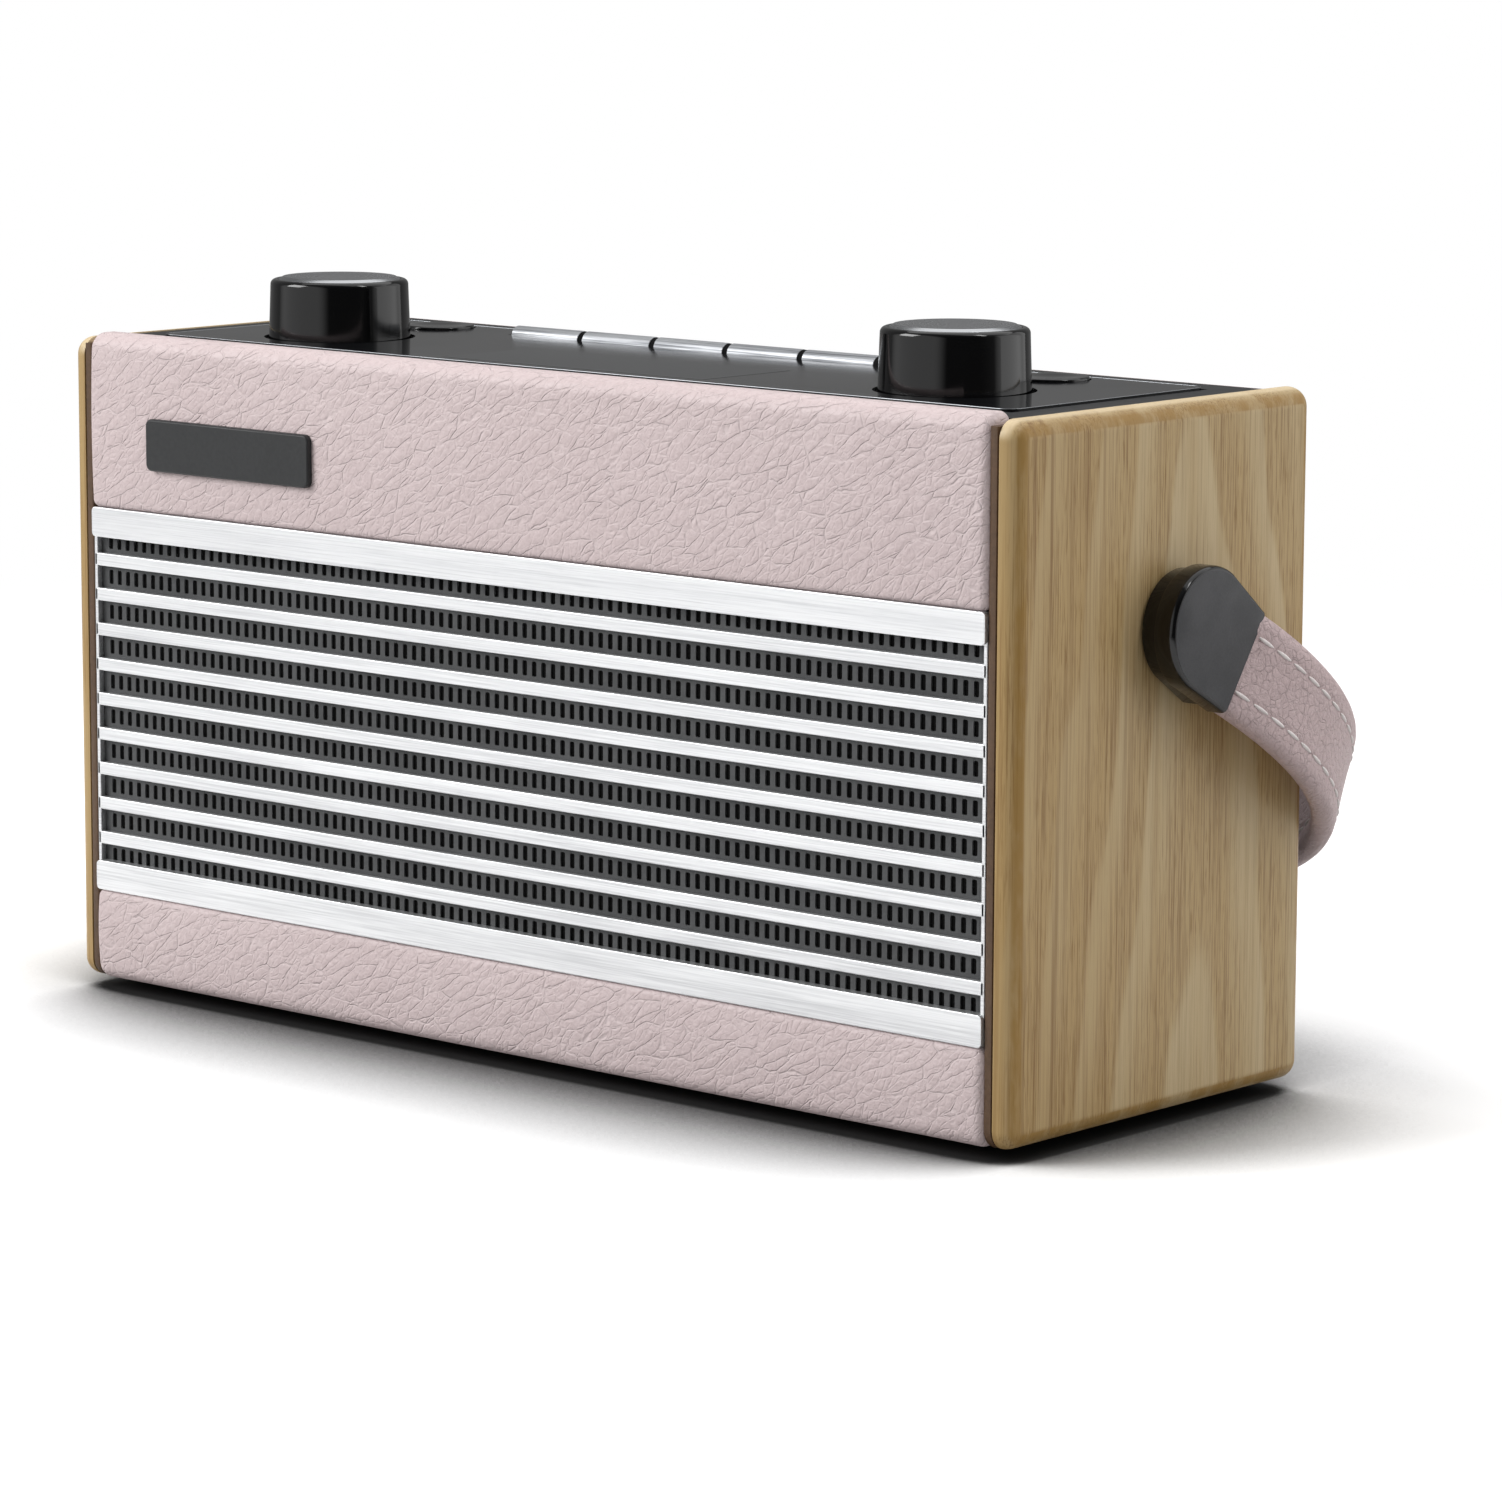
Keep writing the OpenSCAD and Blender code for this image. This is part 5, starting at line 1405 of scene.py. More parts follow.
@dataclass
class Deck(Assembly):
    """Deck moulding, gloss plate with its bright edge, display, knobs and keys."""

    copies: CopyRows
    corner: float = 3.0 * MM
    trim: float = 0.1 * MM
    display_w: float = 70 * MM
    display_d: float = 26 * MM
    display_y: float = -15 * MM
    knob_r: float = 14.75 * MM
    knob_top_r: float = 14.35 * MM
    knob_round: float = 1.15 * MM
    knob_foot: float = 0.25 * MM
    knob_drop: float = 0.3 * MM
    disc_r: float = 12.7 * MM
    disc_bevel: float = 1.0 * MM
    seat_gap: float = 0.1 * MM
    seat_bevel: float = 0.12 * MM
    seat_depth: float = 0.7 * MM
    round_r: float = 7.3 * MM
    round_edge: float = 0.45 * MM
    dish_r: float = 5.4 * MM
    dish_rim: float = 0.6 * MM
    dish_depth: float = 0.32 * MM
    keys: int = 6
    bar_r: float = 2.2 * MM
    bar_short: float = 0.22 * MM
    bar_foot: float = 1.2 * MM
    bar_bevel: float = 0.12 * MM
    rib_gap: float = 0.08 * MM

    def build(self) -> None:
        """Builds the deck."""
        self.dress(DECK_BLACK, "top_panel")
        self.dress(DECK_GLOSS, "gloss_plate")
        self.edge_line()
        self.window()
        for side in ("left", "right"):
            self.knob(side)
            self.round_key(side)
        for number in range(1, self.keys + 1):
            self.bar_key(number)
        self.key_gap_shade()
        self.dress(BOARD_GREEN, "button_board")
        self.dress(DISPLAY_GLASS, "display_module")
        self.dress(STEEL, "tact_switches", "encoders", "left_shaft", "right_shaft")
        self.dress(FOOT_RUBBER, "right_push_collar")

    def edge_line(self) -> None:
        """Builds the fine bright bead round the gloss plate."""
        low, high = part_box("gloss_plate")
        rings = []
        for inset, z in arc((0.0, high.z - self.trim * 0.35), self.trim, -45, 225, 9):
            points = round_rect((low.x + inset, low.y + inset), (high.x - inset, high.y - inset),
                                self.corner - inset, 10)
            rings.append([(x, y, z) for x, y in points])
        bead = loft("deck_edge_line", rings, sharp=30.0, joined=True)
        self.add(bead, TRIM_METAL, Slot.SILVER)

    def window(self) -> None:
        """Builds the display window."""
        half_w, half_d = self.display_w / 2, self.display_d / 2
        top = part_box("gloss_plate")[1].z
        glass = soft_block("display_window", (-half_w, self.display_y - half_d, top - 0.3 * MM),
                           (half_w, self.display_y + half_d, top + 0.03 * MM), 0.02 * MM, 1)
        self.add(glass, DISPLAY_GLASS, Slot.DISPLAY)

    def knob(self, side: str) -> None:
        """Builds a knob with a seat for its disc.

        Args:
            side: left or right.
        """
        low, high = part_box(f"{side}_knob")
        middle = (low + high) / 2
        height = high.z - low.z - self.knob_drop
        wide, narrow, foot, r = self.knob_r, self.knob_top_r, self.knob_foot, self.knob_round
        slope = math.degrees(math.atan2(wide - narrow, height))
        seat = self.disc_r + self.seat_gap
        profile = [(0.0, 0.0), (wide - foot, 0.0), (wide, foot)]
        profile += [(wide + (narrow - wide) * k / 6, foot + (height - r - foot) * k / 6) for k in range(1, 6)]
        profile += arc((narrow - r, height - r), r, slope, 90, 12)
        profile += [(seat + self.seat_bevel, height), (seat, height - self.seat_bevel),
                    (seat, height - self.seat_depth), (0.0, height - self.seat_depth)]
        knob = lathe(f"{side}_knob_body", profile, (middle.x, middle.y, low.z), steps=128, sharp=40.0)
        even_shading(knob)
        self.add(knob, KNOB_GLOSS, Slot.GLOSS, f"{side}_knob", body=f"{side}_knob")
        self.disc(side, middle)

    def disc(self, side: str, middle: Vector) -> None:
        """Builds a knob's turned disc, bevelled and a little dished.

        Args:
            side: left or right.
            middle: Middle of the knob.
        """
        low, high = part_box(f"{side}_knob_disc")
        thick = high.z - low.z
        bevel = thick - self.disc_bevel / 2
        top = self.disc_r - self.disc_bevel
        profile = [(0.0, 0.0), (self.disc_r, 0.0), (self.disc_r, bevel - 0.05 * MM),
                   (self.disc_r - 0.04 * MM, bevel), (top + 0.06 * MM, thick - 0.02 * MM),
                   (top - 0.05 * MM, thick), (top * 0.66, thick - 0.05 * MM), (top * 0.33, thick - 0.09 * MM),
                   (0.0, thick - 0.1 * MM)]
        disc = lathe(f"{side}_knob_turned_disc", profile, (middle.x, middle.y, low.z), steps=128, sharp=20.0)
        finish = TurnedMetal(f"turned_disc_{side}", (178, 180, 183), 0.25, 0.5, metallic=1.0,
                             centre=(middle.x, middle.y))
        self.add(disc, finish, Slot.SILVER, f"{side}_knob_disc", body=f"{side}_knob")

    def round_key(self, side: str) -> None:
        """Builds a round key with a dished top.

        Args:
            side: left or right.
        """
        node = f"{side}_round_key"
        low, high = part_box(node)
        middle = (low + high) / 2
        height = high.z - low.z
        radius, r, dish = self.round_r, self.round_edge, self.dish_r
        profile = [(0.0, 0.0), (radius, 0.0)] + arc((radius - r, height - r), r, 0, 90, 8)
        profile.append((dish + self.dish_rim, height))
        for k in range(7):
            profile.append((dish * (1 - k / 6), height - self.dish_depth * math.sin(math.pi / 2 * k / 6)))
        key = lathe(f"{side}_round_key_cap", profile, (middle.x, middle.y, low.z), steps=72, sharp=40.0)
        self.add(key, KNOB_GLOSS, Slot.GLOSS, node, body=node)

    def bar_section(self, r: float, steps: int) -> list[Flat]:
        """Returns the section of a bar key: a half circle over straight flanks."""
        return [(r, -self.bar_foot)] + arc((0.0, 0.0), r, 0, 180, steps) + [(-r, -self.bar_foot)]

    def bar_key(self, number: int) -> None:
        """Builds a half-round bar key.

        Args:
            number: Number of the key, from the left.
        """
        node = f"bar_key_{number}"
        low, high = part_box(node)
        y, foot = (low.y + high.y) / 2, high.z - self.bar_r
        bevel, fine = self.bar_bevel, self.bar_bevel * 0.3
        left, right = low.x + self.bar_short, high.x - self.bar_short
        rings = []
        for x, inset in ((left, bevel), (left + fine, fine), (left + bevel, 0.0),
                         (right - bevel, 0.0), (right - fine, fine), (right, bevel)):
            rings.append([(x, y + a, foot + b) for a, b in self.bar_section(self.bar_r - inset, 24)])
        bar = loft(f"{node}_bar", rings, sharp=40.0)
        even_shading(bar)
        self.add(bar, KEY_METAL, Slot.SILVER, node, body=node)

    def key_gap_shade(self) -> None:
        """Builds black ribs in the gaps between the bar keys, painted shade that makes the gaps read dark."""
        first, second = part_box("bar_key_1"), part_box("bar_key_2")
        half = (second[0].x - first[1].x) / 2 + self.bar_short - self.rib_gap
        start = ((second[0].x + first[1].x) / 2, (first[0].y + first[1].y) / 2, first[1].z - self.bar_r)
        points = self.bar_section(self.bar_r - self.rib_gap, 12)
        rib = loft("key_gap_shade", [[(x, a, b) for a, b in points] for x in (-half, half)], sharp=40.0)
        self.copies.spread(rib, GAP_SHADE_BLACK, start, self.keys - 1, (second[0].x - first[0].x, 0, 0))
        self.add(rib, GAP_SHADE_BLACK, Slot.GLOSS)


@dataclass(frozen=True)
class StrapPath:
    """Path of the strap: it bows outwards, winds round a leaning axis and hangs behind the body."""

    pivot: Vector
    x: float
    cap_len: float
    rest: float
    lean: float = math.radians(22.1)
    bow: float = math.radians(19.3)
    radius: float = 55 * MM

    def axes(self) -> tuple[Vector, Vector]:
        """Returns the leaning axis and the level direction square to it."""
        return (Vector((0, math.sin(self.lean), math.cos(self.lean))),
                Vector((0, math.cos(self.lean), -math.sin(self.lean))))

    def step(self, start: float, end: float) -> Vector:
        """Step along the winding arc.

        Args:
            start: First heading in radians.
            end: Last heading in radians.

        Returns:
            The step from one to the other.
        """
        upright, level = self.axes()
        side = Vector((self.radius * (math.cos(end) - math.cos(start)), 0, 0))
        drop = math.tan(self.rest - self.lean) * self.radius * (end - start)
        return side + self.radius * (math.sin(end) - math.sin(start)) * level - drop * upright

    def half(self) -> list[Vector]:
        """Path from the right cap to the middle of the strap.

        Returns:
            Points along the bow, the bend and the sagging span.
        """
        upright = self.axes()[0]
        run = Vector((0, math.cos(self.rest), -math.sin(self.rest)))
        start = Vector((self.x, self.pivot.y, self.pivot.z)) + self.cap_len * run
        bow_end = start + self.step(-self.bow, 0)
        bend_end = bow_end + self.step(0, math.pi / 2)
        points = [start + self.step(-self.bow, -self.bow * (1 - k / 12)) for k in range(12)]
        points += [bow_end + self.step(0, math.pi / 2 * k / 48) for k in range(48)]
        far = bend_end.x
        sag = math.tan(self.rest - self.lean) / (2 * far)
        for k in range(25):
            x = far * (1 - k / 24)
            points.append(bend_end - Vector((far - x, 0, 0)) - sag * (far ** 2 - x * x) * upright)
        return points

    def frames(self) -> list[Spot]:
        """Whole path with its directions.

        Returns:
            Each point with its across and outward directions.
        """
        half = self.half()
        points = half + [Vector((-p.x, p.y, p.z)) for p in reversed(half[:-1])]
        upright = self.axes()[0]
        found = []
        for k, point in enumerate(points):
            heading = (points[min(k + 1, len(points) - 1)] - points[max(k - 1, 0)]).normalized()
            across = (upright - upright.dot(heading) * heading).normalized()
            found.append((point, across, -across.cross(heading)))
        return found


@dataclass(frozen=True)
class Sewing:
    """One shape that is repeated along the strap's seams."""

    name: str
    finish: Finish
    length: float
    thick: float
    lift: float
    shift: float


@dataclass
class Handle(Assembly):
    """Pivot caps and the stitched strap."""

    stitches: StitchLine
    body = "handle"
    rest: float = math.radians(34.2)
    base_r: float = 11.2 * MM
    base_len: float = 9.4 * MM
    base_edge: Flat = (0.5 * MM, 0.15 * MM)
    cover_r: float = 12.2 * MM
    cover_end: float = 11.0 * MM
    cover_edge: Flat = (0.35 * MM, 0.1 * MM)
    cap_len: float = 12.7 * MM
    lap: float = 0.2 * MM
    rim: float = 0.85 * MM
    rise: float = 1.3 * MM
    face_rise: float = 0.08 * MM
    face_edge: Flat = (0.12 * MM, 0.05 * MM)
    width: float = 21.4 * MM
    thick: float = 5.0 * MM
    edge_share: float = 0.94
    edge_drop: float = 0.12 * MM
    pad: float = 2.4 * MM
    seam: float = 5.8 * MM
    channel: float = 0.3 * MM
    channel_w: float = 0.55 * MM
    pitch: float = 5.2 * MM
    lead: float = 2.6 * MM
    tail: float = 3 * MM
    tuck: float = 0.16
    tuck_len: float = 2.2 * MM
    sewing: tuple[Sewing, ...] = (
        Sewing("strap_stitches", THREAD, 4.5 * MM, 0.8 * MM, 0.1 * MM, 0.0),
        # Dark marks between the stitches: painted shade of the stitch holes.
        Sewing("strap_stitch_hole_shade", STITCH_HOLE_SHADE, 1.0 * MM, 0.7 * MM, 0.05 * MM, 0.5),
    )

    def build(self) -> None:
        """Builds both caps, the strap and its stitches."""
        for side, sign in (("left", -1), ("right", 1)):
            self.cap(side, sign)
        self.dress(STEEL, "pivot_studs")
        self.strap()

    def pivot(self) -> Vector:
        """Returns a point on the pivot studs' axis."""
        low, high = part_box("pivot_studs")
        return (low + high) / 2

    def outline(self, radius: float, end: float, length: float, inset: float) -> list[Flat]:
        """Outline of a cap in (run, across): a half circle that narrows to a straight end.

        Args:
            radius: Radius at the round side.
            end: Half width at the straight end.
            length: Distance from the pivot to the straight end.
            inset: How far the round side and the flanks are drawn in.

        Returns:
            The outline's points.
        """
        flank = [(length * k / 6, -(radius + (end - radius) * k / 6 - inset)) for k in range(1, 7)]
        return (arc((0, 0), radius - inset, 90, 270, 40) + flank
                + [(run, -across) for run, across in reversed(flank)])

    def layer(self, name: str, shape: tuple[float, float, float], sign: int, steps: Sequence[Flat]) -> Piece:
        """Lofts a layer of a cap, outwards from the cheek.

        Args:
            name: Name of the piece.
            shape: Radius, end and length of the outline.
            sign: -1 for the left and 1 for the right.
            steps: Inset of the outline and distance from the radio's middle, for each ring.

        Returns:
            The object.
        """
        pivot = self.pivot()
        cos, sin = math.cos(self.rest), math.sin(self.rest)
        rings = []
        for inset, x in steps:
            rings.append([(sign * x, pivot.y + run * cos + across * sin, pivot.z - run * sin + across * cos)
                          for run, across in self.outline(*shape, inset)])
        return loft(name, rings, sharp=40.0)

    def cap(self, side: str, sign: int) -> None:
        """Builds a cap's base, cover and matte face.

        Args:
            side: left or right.
            sign: -1 for the left and 1 for the right.
        """
        shape = (self.base_r, self.base_r, self.base_len)
        edge, fine = self.base_edge
        x0, x1 = self.reach(f"{side}_cap_base", sign)
        steps = [(edge, x0), (fine, x0 + fine), (0.0, x0 + edge), (0.0, x1 + self.lap)]
        lower = self.layer(f"{side}_cap_lower", shape, sign, steps)
        self.add(lower, CAP_GLOSS, Slot.GLOSS, f"{side}_cap_base")
        shape = (self.cover_r, self.cover_end, self.cap_len)
        edge, fine = self.cover_edge
        x0, x1 = self.reach(f"{side}_cap_cover", sign)
        steps = [(edge, x0), (fine, x0 + fine), (0.0, x0 + edge)]
        for k in range(9):
            angle = math.radians(90 * k / 8)
            steps.append((self.rim * (1 - math.cos(angle)), x1 - self.rise + self.rise * math.sin(angle)))
        upper = self.layer(f"{side}_cap_upper", shape, sign, steps)
        self.add(upper, CAP_GLOSS, Slot.GLOSS, f"{side}_cap_cover")
        edge, fine = self.face_edge
        top = x1 + self.face_rise
        steps = [(self.rim, x1 - self.lap), (self.rim, top - fine), (self.rim + edge, top)]
        self.add(self.layer(f"{side}_cap_face", shape, sign, steps), CAP_MATTE, Slot.MATTE)

    def section(self) -> list[Flat]:
        """Section of the strap, with rolled edges and a channel for each row of stitches.

        Returns:
            Points of (across, out).
        """
        r = self.thick / 2 * self.edge_share
        flat = self.width / 2 - r
        across = [-flat + 2 * flat * k / 36 for k in range(37)]
        top = [(place, self.depth(place)) for place in across]
        under = [(place, -height) for place, height in reversed(top)]
        return top + arc((flat, 0.0), r, 80, -80, 12) + under + arc((-flat, 0.0), r, 260, 100, 12)

    def depth(self, across: float) -> float:
        """Half thickness of the strap at a place of its section.

        Args:
            across: Distance from the strap's middle line.

        Returns:
            The half thickness.
        """
        away = abs(across) - self.seam
        groove = self.channel * math.exp(-(away / self.channel_w) ** 2)
        return self.thick / 2 - groove - self.edge_drop * (1 - math.exp(-(away / self.pad) ** 2))

    def strap(self) -> None:
        """Builds the strap and its rows of stitches."""
        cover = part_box("right_cap_cover")
        path = StrapPath(self.pivot(), cover[1].x - self.thick / 2, self.cap_len, self.rest)
        frames = path.frames()
        section = self.section()
        tail = Vector((0, math.cos(self.rest), -math.sin(self.rest))) * self.tail
        rings = []
        for place, across, out in frames:
            slim = 1 - self.tuck * math.exp(-(self.from_end(place, frames) / self.tuck_len) ** 2)
            rings.append([place + a * across + b * slim * out for a, b in section])
        first, last = ([point - tail for point in ring] for ring in (rings[0], rings[-1]))
        strap = loft("leather_strap", [first, *rings, last], sharp=60.0)
        self.add(strap, STRAP_LEATHER, Slot.LEATHER, "strap")
        for shape in self.sewing:
            self.sew(shape, frames)

    def from_end(self, place: Vector, frames: Sequence[Spot]) -> float:
        """Returns how far a place on the strap's path is from the nearer end."""
        return min((place - frames[k][0]).length for k in (0, -1))

    def sew(self, shape: Sewing, frames: Sequence[Spot]) -> None:
        """Lays one shape along the strap's four rows of sewing.

        Args:
            shape: Shape to repeat.
            frames: Points of the strap's path with their across and outward directions.
        """
        inner = [spot for spot in frames if self.from_end(spot[0], frames) > self.lead]
        lift = self.thick / 2 - self.channel + shape.lift
        verts, edges = [], []
        for seam in (-self.seam, self.seam):
            for face in (-1, 1):
                start = len(verts)
                verts += [place + seam * across + face * lift * out for place, across, out in inner]
                edges += [(k, k + 1) for k in range(start, len(verts) - 1)]
        mesh = bpy.data.meshes.new(shape.name)
        mesh.from_pydata(verts, edges, [])
        piece = bpy.data.objects.new(shape.name, mesh)
        bpy.context.scene.collection.objects.link(piece)
        self.stitches.run(piece, {
            "Pitch": self.pitch, "Length": shape.length, "Thickness": shape.thick,
            "Shift": shape.shift * self.pitch, "Finish": shape.finish.material()})
        piece.data.shade_smooth()
        self.add(piece, shape.finish, Slot.LEATHER)


def turned_end(radius: float, end: float, steps: Sequence[Flat]) -> list[Flat]:
    """Returns a rod's end as a profile, from steps of (in from the radius, back from the end)."""
    return [(radius - inset, end - back) for inset, back in steps] + [(0.0, end)]


@dataclass
class Back(Assembly):
    """Back cover with its screws, sockets, battery door and aerial."""

    copies: CopyRows
    screw_r: float = 2.8 * MM
    arm: float = 1.5 * MM
    slim: float = 0.42 * MM
    turns: int = 48
    jack_r: float = 1.85 * MM
    inlet_r: float = 3.2 * MM
    ring_w: float = 1.1 * MM
    ring_sunk: float = 0.4 * MM
    ring_rise: float = 0.42 * MM
    ribs: int = 4
    rib_pitch: float = 1.8 * MM
    rib_half: Flat = (9 * MM, 0.35 * MM)
    rib_drop: float = 10 * MM
    pin_gap: float = 2.8 * MM
    middle_r: float = 2.7 * MM
    tip_r: float = 1.9 * MM
    tip_len: float = 5 * MM

    def build(self) -> None:
        """Builds the back."""
        self.dress(BACK_BLACK, "back_cover", "battery_tray", "aerial_bracket", "aerial_saddle")
        self.dress(SOCKET_BLACK, "socket_plate")
        self.dress(BACK_BLACK, "battery_door")
        self.dress(CELL_WRAP, "battery_cells")
        self.dress(STEEL, "battery_contacts", "aerial_pin")
        self.dress(CHROME, "aerial_swivel")
        self.screws()
        self.socket_rings()
        self.door_ribs()
        self.aerial()

    def screws(self) -> None:
        """Builds the cover's cross-head screws as copies of one."""
        low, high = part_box("cover_screws")
        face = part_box("back_cover")[1].y
        r = self.screw_r
        rise = high.y - face
        turns = [math.tau * k / self.turns for k in range(self.turns)]
        dome = ((r, 0.0), (r, rise * 0.35), (r * 0.93, rise * 0.68), (r * 0.78, rise * 0.9), (r * 0.62, rise))
        rings = []
        for radius, height in dome:
            rings.append([(radius * math.cos(turn), height, radius * math.sin(turn)) for turn in turns])
        for height in (rise, rise * 0.35):
            rings.append([(self.cross(turn) * math.cos(turn), height, self.cross(turn) * math.sin(turn))
                          for turn in turns])
        screw = loft("cover_screw_heads", rings, sharp=40.0)
        width = high.x - low.x - 2 * r
        tall = (high.z - low.z - 2 * r) / 2
        self.copies.spread(screw, STEEL, (low.x + r, face, low.z + r), 2, (width, 0, 0), 3, (0, 0, tall))
        self.add(screw, STEEL, Slot.SILVER, "cover_screws")

    def cross(self, turn: float) -> float:
        """Returns the reach of the screw's cross slot in one direction, given in radians."""
        cos, sin = abs(math.cos(turn)) + TINY, abs(math.sin(turn)) + TINY
        return max(min(self.arm / cos, self.slim / sin), min(self.slim / cos, self.arm / sin))

    def socket_rings(self) -> None:
        """Builds the bright rings of the two jacks and the dark one of the power inlet."""
        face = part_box("socket_plate")[1].y
        places = {mount["name"]: mount["pos_m"] for mount in frame["record"]["mounts"]}
        sunk, rise = -self.ring_sunk, self.ring_rise
        for mount, bore, finish, slot in (("headphone_socket", self.jack_r, CHROME, Slot.CHROME),
                                          ("line_socket", self.jack_r, CHROME, Slot.CHROME),
                                          ("power_inlet", self.inlet_r, SOCKET_BLACK, Slot.MATTE)):
            x, z = places[mount][0], places[mount][2]
            outer = bore + self.ring_w
            profile = [(bore, sunk), (outer, sunk), (outer, 0.25 * MM), (outer - 0.2 * MM, rise),
                       (bore + 0.25 * MM, rise), (bore, 0.2 * MM)]
            rings = []
            for k in range(self.turns):
                turn = math.tau * k / self.turns
                rings.append([(x + radius * math.cos(turn), face + height, z + radius * math.sin(turn))
                              for radius, height in profile])
            self.add(loft(f"{mount}_ring", rings, joined=True), finish, slot)

    def door_ribs(self) -> None:
        """Builds the grip ribs on the battery door."""
        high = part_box("battery_door")[1]
        wide, tall = self.rib_half
        rib = soft_block("door_grip_ribs", (-wide, -0.1 * MM, -tall), (wide, 0.4 * MM, tall), 0.25 * MM, 3)
        start = (0, high.y, high.z - self.rib_drop)
        self.copies.spread(rib, BACK_BLACK, start, self.ribs, (0, 0, -self.rib_pitch))
        self.add(rib, BACK_BLACK, Slot.MATTE, body="battery_door")

    def aerial(self) -> None:
        """Builds the aerial's tube and its two drawn sections."""
        low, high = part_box("aerial_tube")
        y, z = (low.y + high.y) / 2, (low.z + high.z) / 2
        r = (high.z - low.z) / 2
        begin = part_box("aerial_pin")[1].x + self.pin_gap
        profile = [(0.0, -4.4 * MM), (1.6 * MM, -4.4 * MM), (1.9 * MM, -0.6 * MM), (r - 0.4 * MM, 0.0),
                   (r, 0.4 * MM)]
        profile += turned_end(r, high.x - begin, (
            (0.0, 2.2 * MM), (0.12 * MM, 2.0 * MM), (0.12 * MM, 1.6 * MM), (0.0, 1.4 * MM), (0.0, 0.3 * MM),
            (0.3 * MM, 0.0)))
        tube = lathe("aerial_outer_tube", profile, (begin, y, z), Axis.X, steps=48, sharp=30.0)
        self.add(tube, CHROME, Slot.CHROME, body="aerial_tube")
        self.dress(CHROME, "aerial_tube")
        low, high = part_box("aerial_middle")
        r = self.middle_r
        profile = [(0.0, 0.0), (r, 0.0)] + turned_end(r, high.x - low.x, ((0.0, 0.2 * MM), (0.2 * MM, 0.0)))
        self.rod("aerial_middle", profile, (low.x, y, z))
        low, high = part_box("aerial_tip")
        r, length = self.tip_r, high.x - low.x
        profile = [(0.0, 0.0), (r, 0.0), (r, length - self.tip_len)]
        profile += turned_end((high.z - low.z) / 2, length, (
            (0.3 * MM, self.tip_len), (0.0, self.tip_len - 0.3 * MM), (0.0, 1.4 * MM), (0.35 * MM, 0.5 * MM),
            (1.0 * MM, 0.0)))
        self.rod("aerial_tip", profile, (low.x, y, z))

    def rod(self, node: str, profile: Sequence[Flat], start: Place) -> None:
        """Turns a drawn section of the aerial, which rides on the body of its own name."""
        piece = lathe(f"{node}_rod", profile, start, Axis.X, steps=40, sharp=30.0)
        self.add(piece, CHROME, Slot.CHROME, node, body=node)


class Inside(Assembly):
    """Pieces behind the baffle and the cover."""

    def build(self) -> None:
        """Dresses the inner pieces."""
        self.dress(STEEL, "left_speaker", "right_speaker")
        self.dress(CONE_PAPER, "speaker_cones")
        self.dress(BOARD_GREEN, "main_board")


@dataclass(frozen=True)
class Lamp:
    """A soft area lamp."""

    name: str
    place: Place
    aim: Place
    size: Flat
    watts: float

    def build(self) -> None:
        """Hangs the lamp."""
        data = bpy.data.lights.new(self.name, "AREA")
        data.shape = "RECTANGLE"
        data.size, data.size_y = self.size
        data.energy = self.watts
        lamp = bpy.data.objects.new(self.name, data)
        lamp.location = self.place
        lamp.rotation_euler = (Vector(self.aim) - Vector(self.place)).to_track_quat("-Z", "Y").to_euler()
        bpy.context.scene.collection.objects.link(lamp)


@dataclass(frozen=True)
class Window:
    """A bright window of the studio, seen in gloss and metal."""

    heading: float
    edge: float
    full: float

    def aim(self) -> Place:
        """Returns the level direction of the window, from its heading off the front."""
        turn = math.radians(self.heading)
        return math.sin(turn), -math.cos(turn), 0.0


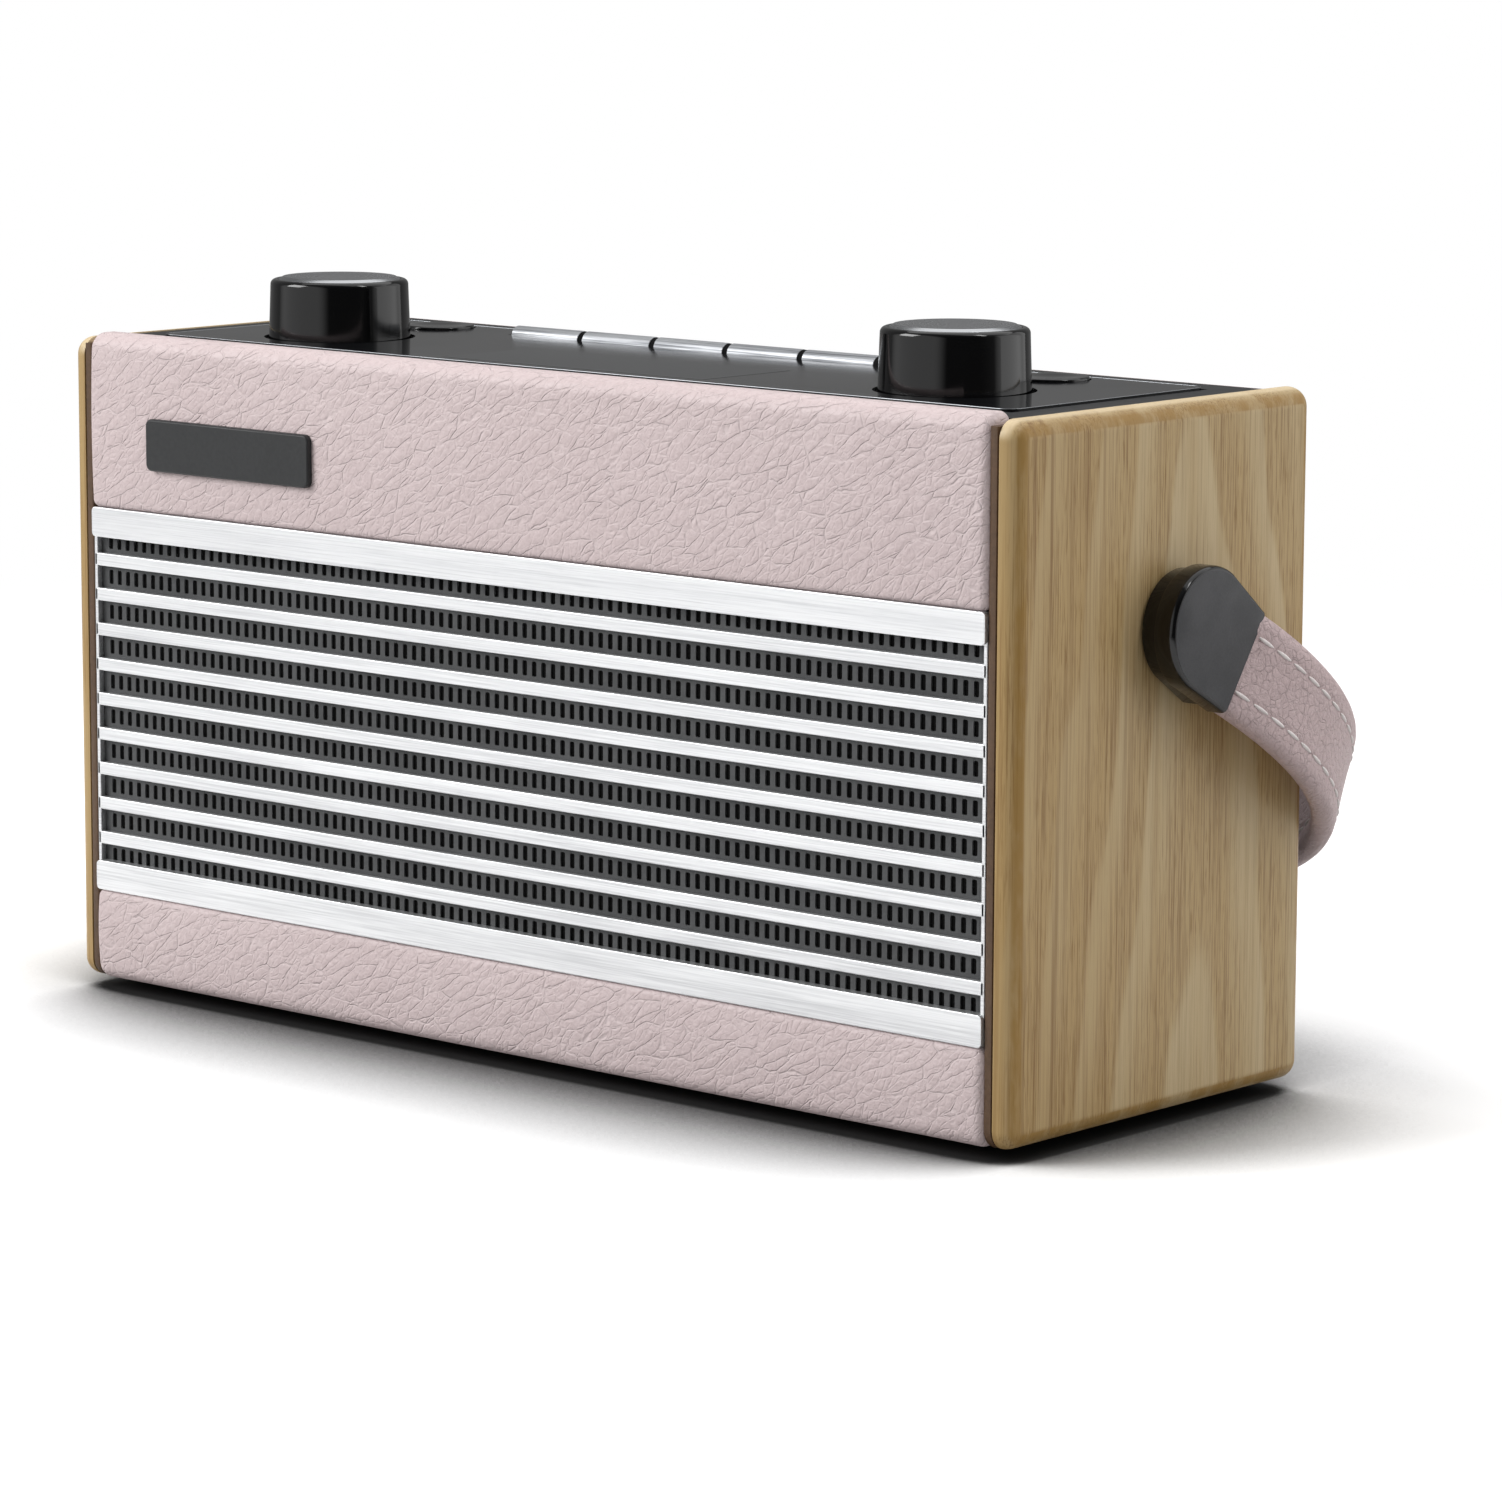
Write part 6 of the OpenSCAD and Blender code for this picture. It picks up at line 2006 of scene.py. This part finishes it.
@dataclass(frozen=True)
class Studio:
    """Camera, lamps, world and white floor."""

    azimuth: float = 41.311
    elevation: float = 9.143
    roll: float = 0.22
    distance: float = 1.16766
    target: Place = (0.023322, 0.0, 0.061442)
    lens: float = 139.75
    ambient: float = 0.38
    wall: float = 0.20
    dim: float = 0.05
    floor_shade: float = 0.4
    floor_white: float = 1.13
    near: float = 0.34
    far: float = 0.75
    # Painted contact shade on the floor: ambient occlusion reach and the ramp of its darkening.
    contact: float = 0.085
    contact_shut: float = 0.42
    contact_open: float = 0.92
    contact_dark: float = 0.03
    floor_half: float = 8.0
    windows: tuple[Window, ...] = (Window(-24.0, 0.58, 0.86), Window(130.0, 0.84, 0.96))
    dim_side: Window = Window(41.0, 0.25, 0.85)
    lamps: tuple[Lamp, ...] = (
        Lamp("key_softbox", (-1.15, -1.35, 1.05), (0, 0, 0.06), (1.0, 1.1), 31.5),
        Lamp("top_softbox", (0.0, 0.45, 1.45), (0, 0, 0.1), (2.2, 1.7), 15.5),
        Lamp("right_strip", (0.80, 0.05, 1.10), (0.1, 0.02, 0.08), (0.14, 0.5), 2.2),
        Lamp("rear_fill", (0.90, 1.05, 0.50), (0.12, 0.02, 0.09), (1.7, 1.2), 5.2),
    )

    def build(self) -> None:
        """Sets up the studio."""
        bpy.context.scene.view_settings.view_transform = "Standard"
        self.camera()
        self.world()
        self.floor()
        for lamp in self.lamps:
            lamp.build()

    def camera(self) -> None:
        """Sets the camera at the photograph's angle."""
        az, el = math.radians(self.azimuth), math.radians(self.elevation)
        back = Vector((math.sin(az) * math.cos(el), -math.cos(az) * math.cos(el), math.sin(el)))
        data = bpy.data.cameras.new("camera")
        data.lens = self.lens
        data.sensor_width = 36.0
        data.clip_start, data.clip_end = 0.01, 50.0
        camera = bpy.data.objects.new("camera", data)
        camera.location = Vector(self.target) + back * self.distance
        level = (-back).to_track_quat("-Z", "Y").to_matrix()
        camera.rotation_euler = (level @ Euler((0, 0, math.radians(self.roll))).to_matrix()).to_euler()
        bpy.context.scene.collection.objects.link(camera)
        bpy.context.scene.camera = camera

    def seen(self, nodes: ShaderNodes, way: Socket) -> tuple[Socket, Socket]:
        """Adds the test for rays that show the background, and how bright it is for them.

        Args:
            nodes: Nodes of the world or the floor.
            way: Direction from the radio.

        Returns:
            A socket that is 1 for camera, glossy and transmission rays, and the background's brightness.
        """
        path = nodes.node("ShaderNodeLightPath")
        eye = path.outputs["Is Camera Ray"]
        shine = nodes.sum("MAXIMUM", path.outputs["Is Glossy Ray"], path.outputs["Is Transmission Ray"])
        dim = nodes.vector("DOT_PRODUCT", way, self.dim_side.aim())
        bright = nodes.span(dim, self.dim_side.edge, self.dim_side.full, self.wall, self.dim)
        for window in self.windows:
            facing = nodes.vector("DOT_PRODUCT", way, window.aim())
            bright = nodes.sum("MAXIMUM", bright, nodes.span(facing, window.edge, window.full))
        return nodes.sum("MAXIMUM", eye, shine), nodes.sum("MAXIMUM", eye, bright)

    def world(self) -> None:
        """Makes a world that is white to the eye and dimmer as a light."""
        world = bpy.data.worlds.new("studio")
        bpy.context.scene.world = world
        world.use_nodes = True
        nodes = ShaderNodes(world.node_tree)
        nodes.tree.nodes.clear()
        shine = nodes.node("ShaderNodeBackground")
        light = nodes.node("ShaderNodeBackground")
        light.inputs["Strength"].default_value = self.ambient
        for node in (shine, light):
            node.inputs["Color"].default_value = (1, 1, 1, 1)
        seen, bright = self.seen(nodes, nodes.place())
        nodes.feed(shine.inputs["Strength"], bright)
        both = nodes.node("ShaderNodeMixShader")
        end = nodes.node("ShaderNodeOutputWorld")
        nodes.feed(both.inputs[0], seen)
        nodes.feed(both.inputs[1], light.outputs[0])
        nodes.feed(both.inputs[2], shine.outputs[0])
        nodes.feed(end.inputs[0], both.outputs[0])

    def floor(self) -> None:
        """Makes a white floor that keeps the shadow, with painted contact shade from ambient occlusion near
        the radio, and fades to the background.
        """
        half = self.floor_half
        mesh = bpy.data.meshes.new("floor")
        mesh.from_pydata([(-half, -half, 0), (half, -half, 0), (half, half, 0), (-half, half, 0)], [],
                         [(0, 1, 2, 3)])
        floor = bpy.data.objects.new("floor", mesh)
        bpy.context.scene.collection.objects.link(floor)
        paint = ShaderTree("studio_floor")
        reach = paint.node("ShaderNodeVectorMath", operation="LENGTH")
        paint.feed(reach.inputs[0], paint.place())
        seen, bright = self.seen(paint, paint.vector("NORMALIZE", paint.place(), (0, 0, 0)))
        # Painted shade: ambient occlusion darkens the floor's colour near and under the radio.
        hidden = paint.node("ShaderNodeAmbientOcclusion", samples=16)
        hidden.inputs["Distance"].default_value = self.contact
        open_share = paint.span(hidden.outputs["AO"], self.contact_shut, self.contact_open,
                                self.contact_dark, self.floor_white)
        matt = paint.node("ShaderNodeBsdfDiffuse")
        shade = self.floor_shade
        paint.feed(matt.inputs["Color"], paint.mix(seen, (shade, shade, shade, 1), open_share))
        away = paint.span(reach.outputs["Value"], self.near, self.far)
        glow = paint.node("ShaderNodeEmission")
        paint.feed(glow.inputs["Strength"], bright)
        both = paint.node("ShaderNodeMixShader")
        paint.feed(both.inputs[0], paint.sum("MULTIPLY", away, seen))
        paint.feed(both.inputs[1], matt.outputs[0])
        paint.feed(both.inputs[2], glow.outputs[0])
        end = paint.tree.nodes["Material Output"]
        paint.tree.nodes.remove(paint.shader)
        paint.feed(end.inputs["Surface"], both.outputs[0])
        mesh.materials.append(paint.material)


def write_sizes() -> None:
    """Updates the view layer."""
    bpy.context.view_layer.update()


def main() -> None:
    """Builds the studio and every sub-assembly in order."""
    logging.basicConfig(level=logging.INFO, format="%(name)s: %(message)s")
    Studio().build()
    copies = CopyRows()
    assemblies = (Cabinet(copies), LeatherRails(), Grille(copies), Badge(), Deck(copies),
                  Handle(StitchLine()), Back(copies), Inside())
    for assembly in assemblies:
        assembly.build()
    write_sizes()


if __name__ == "__main__":
    main()
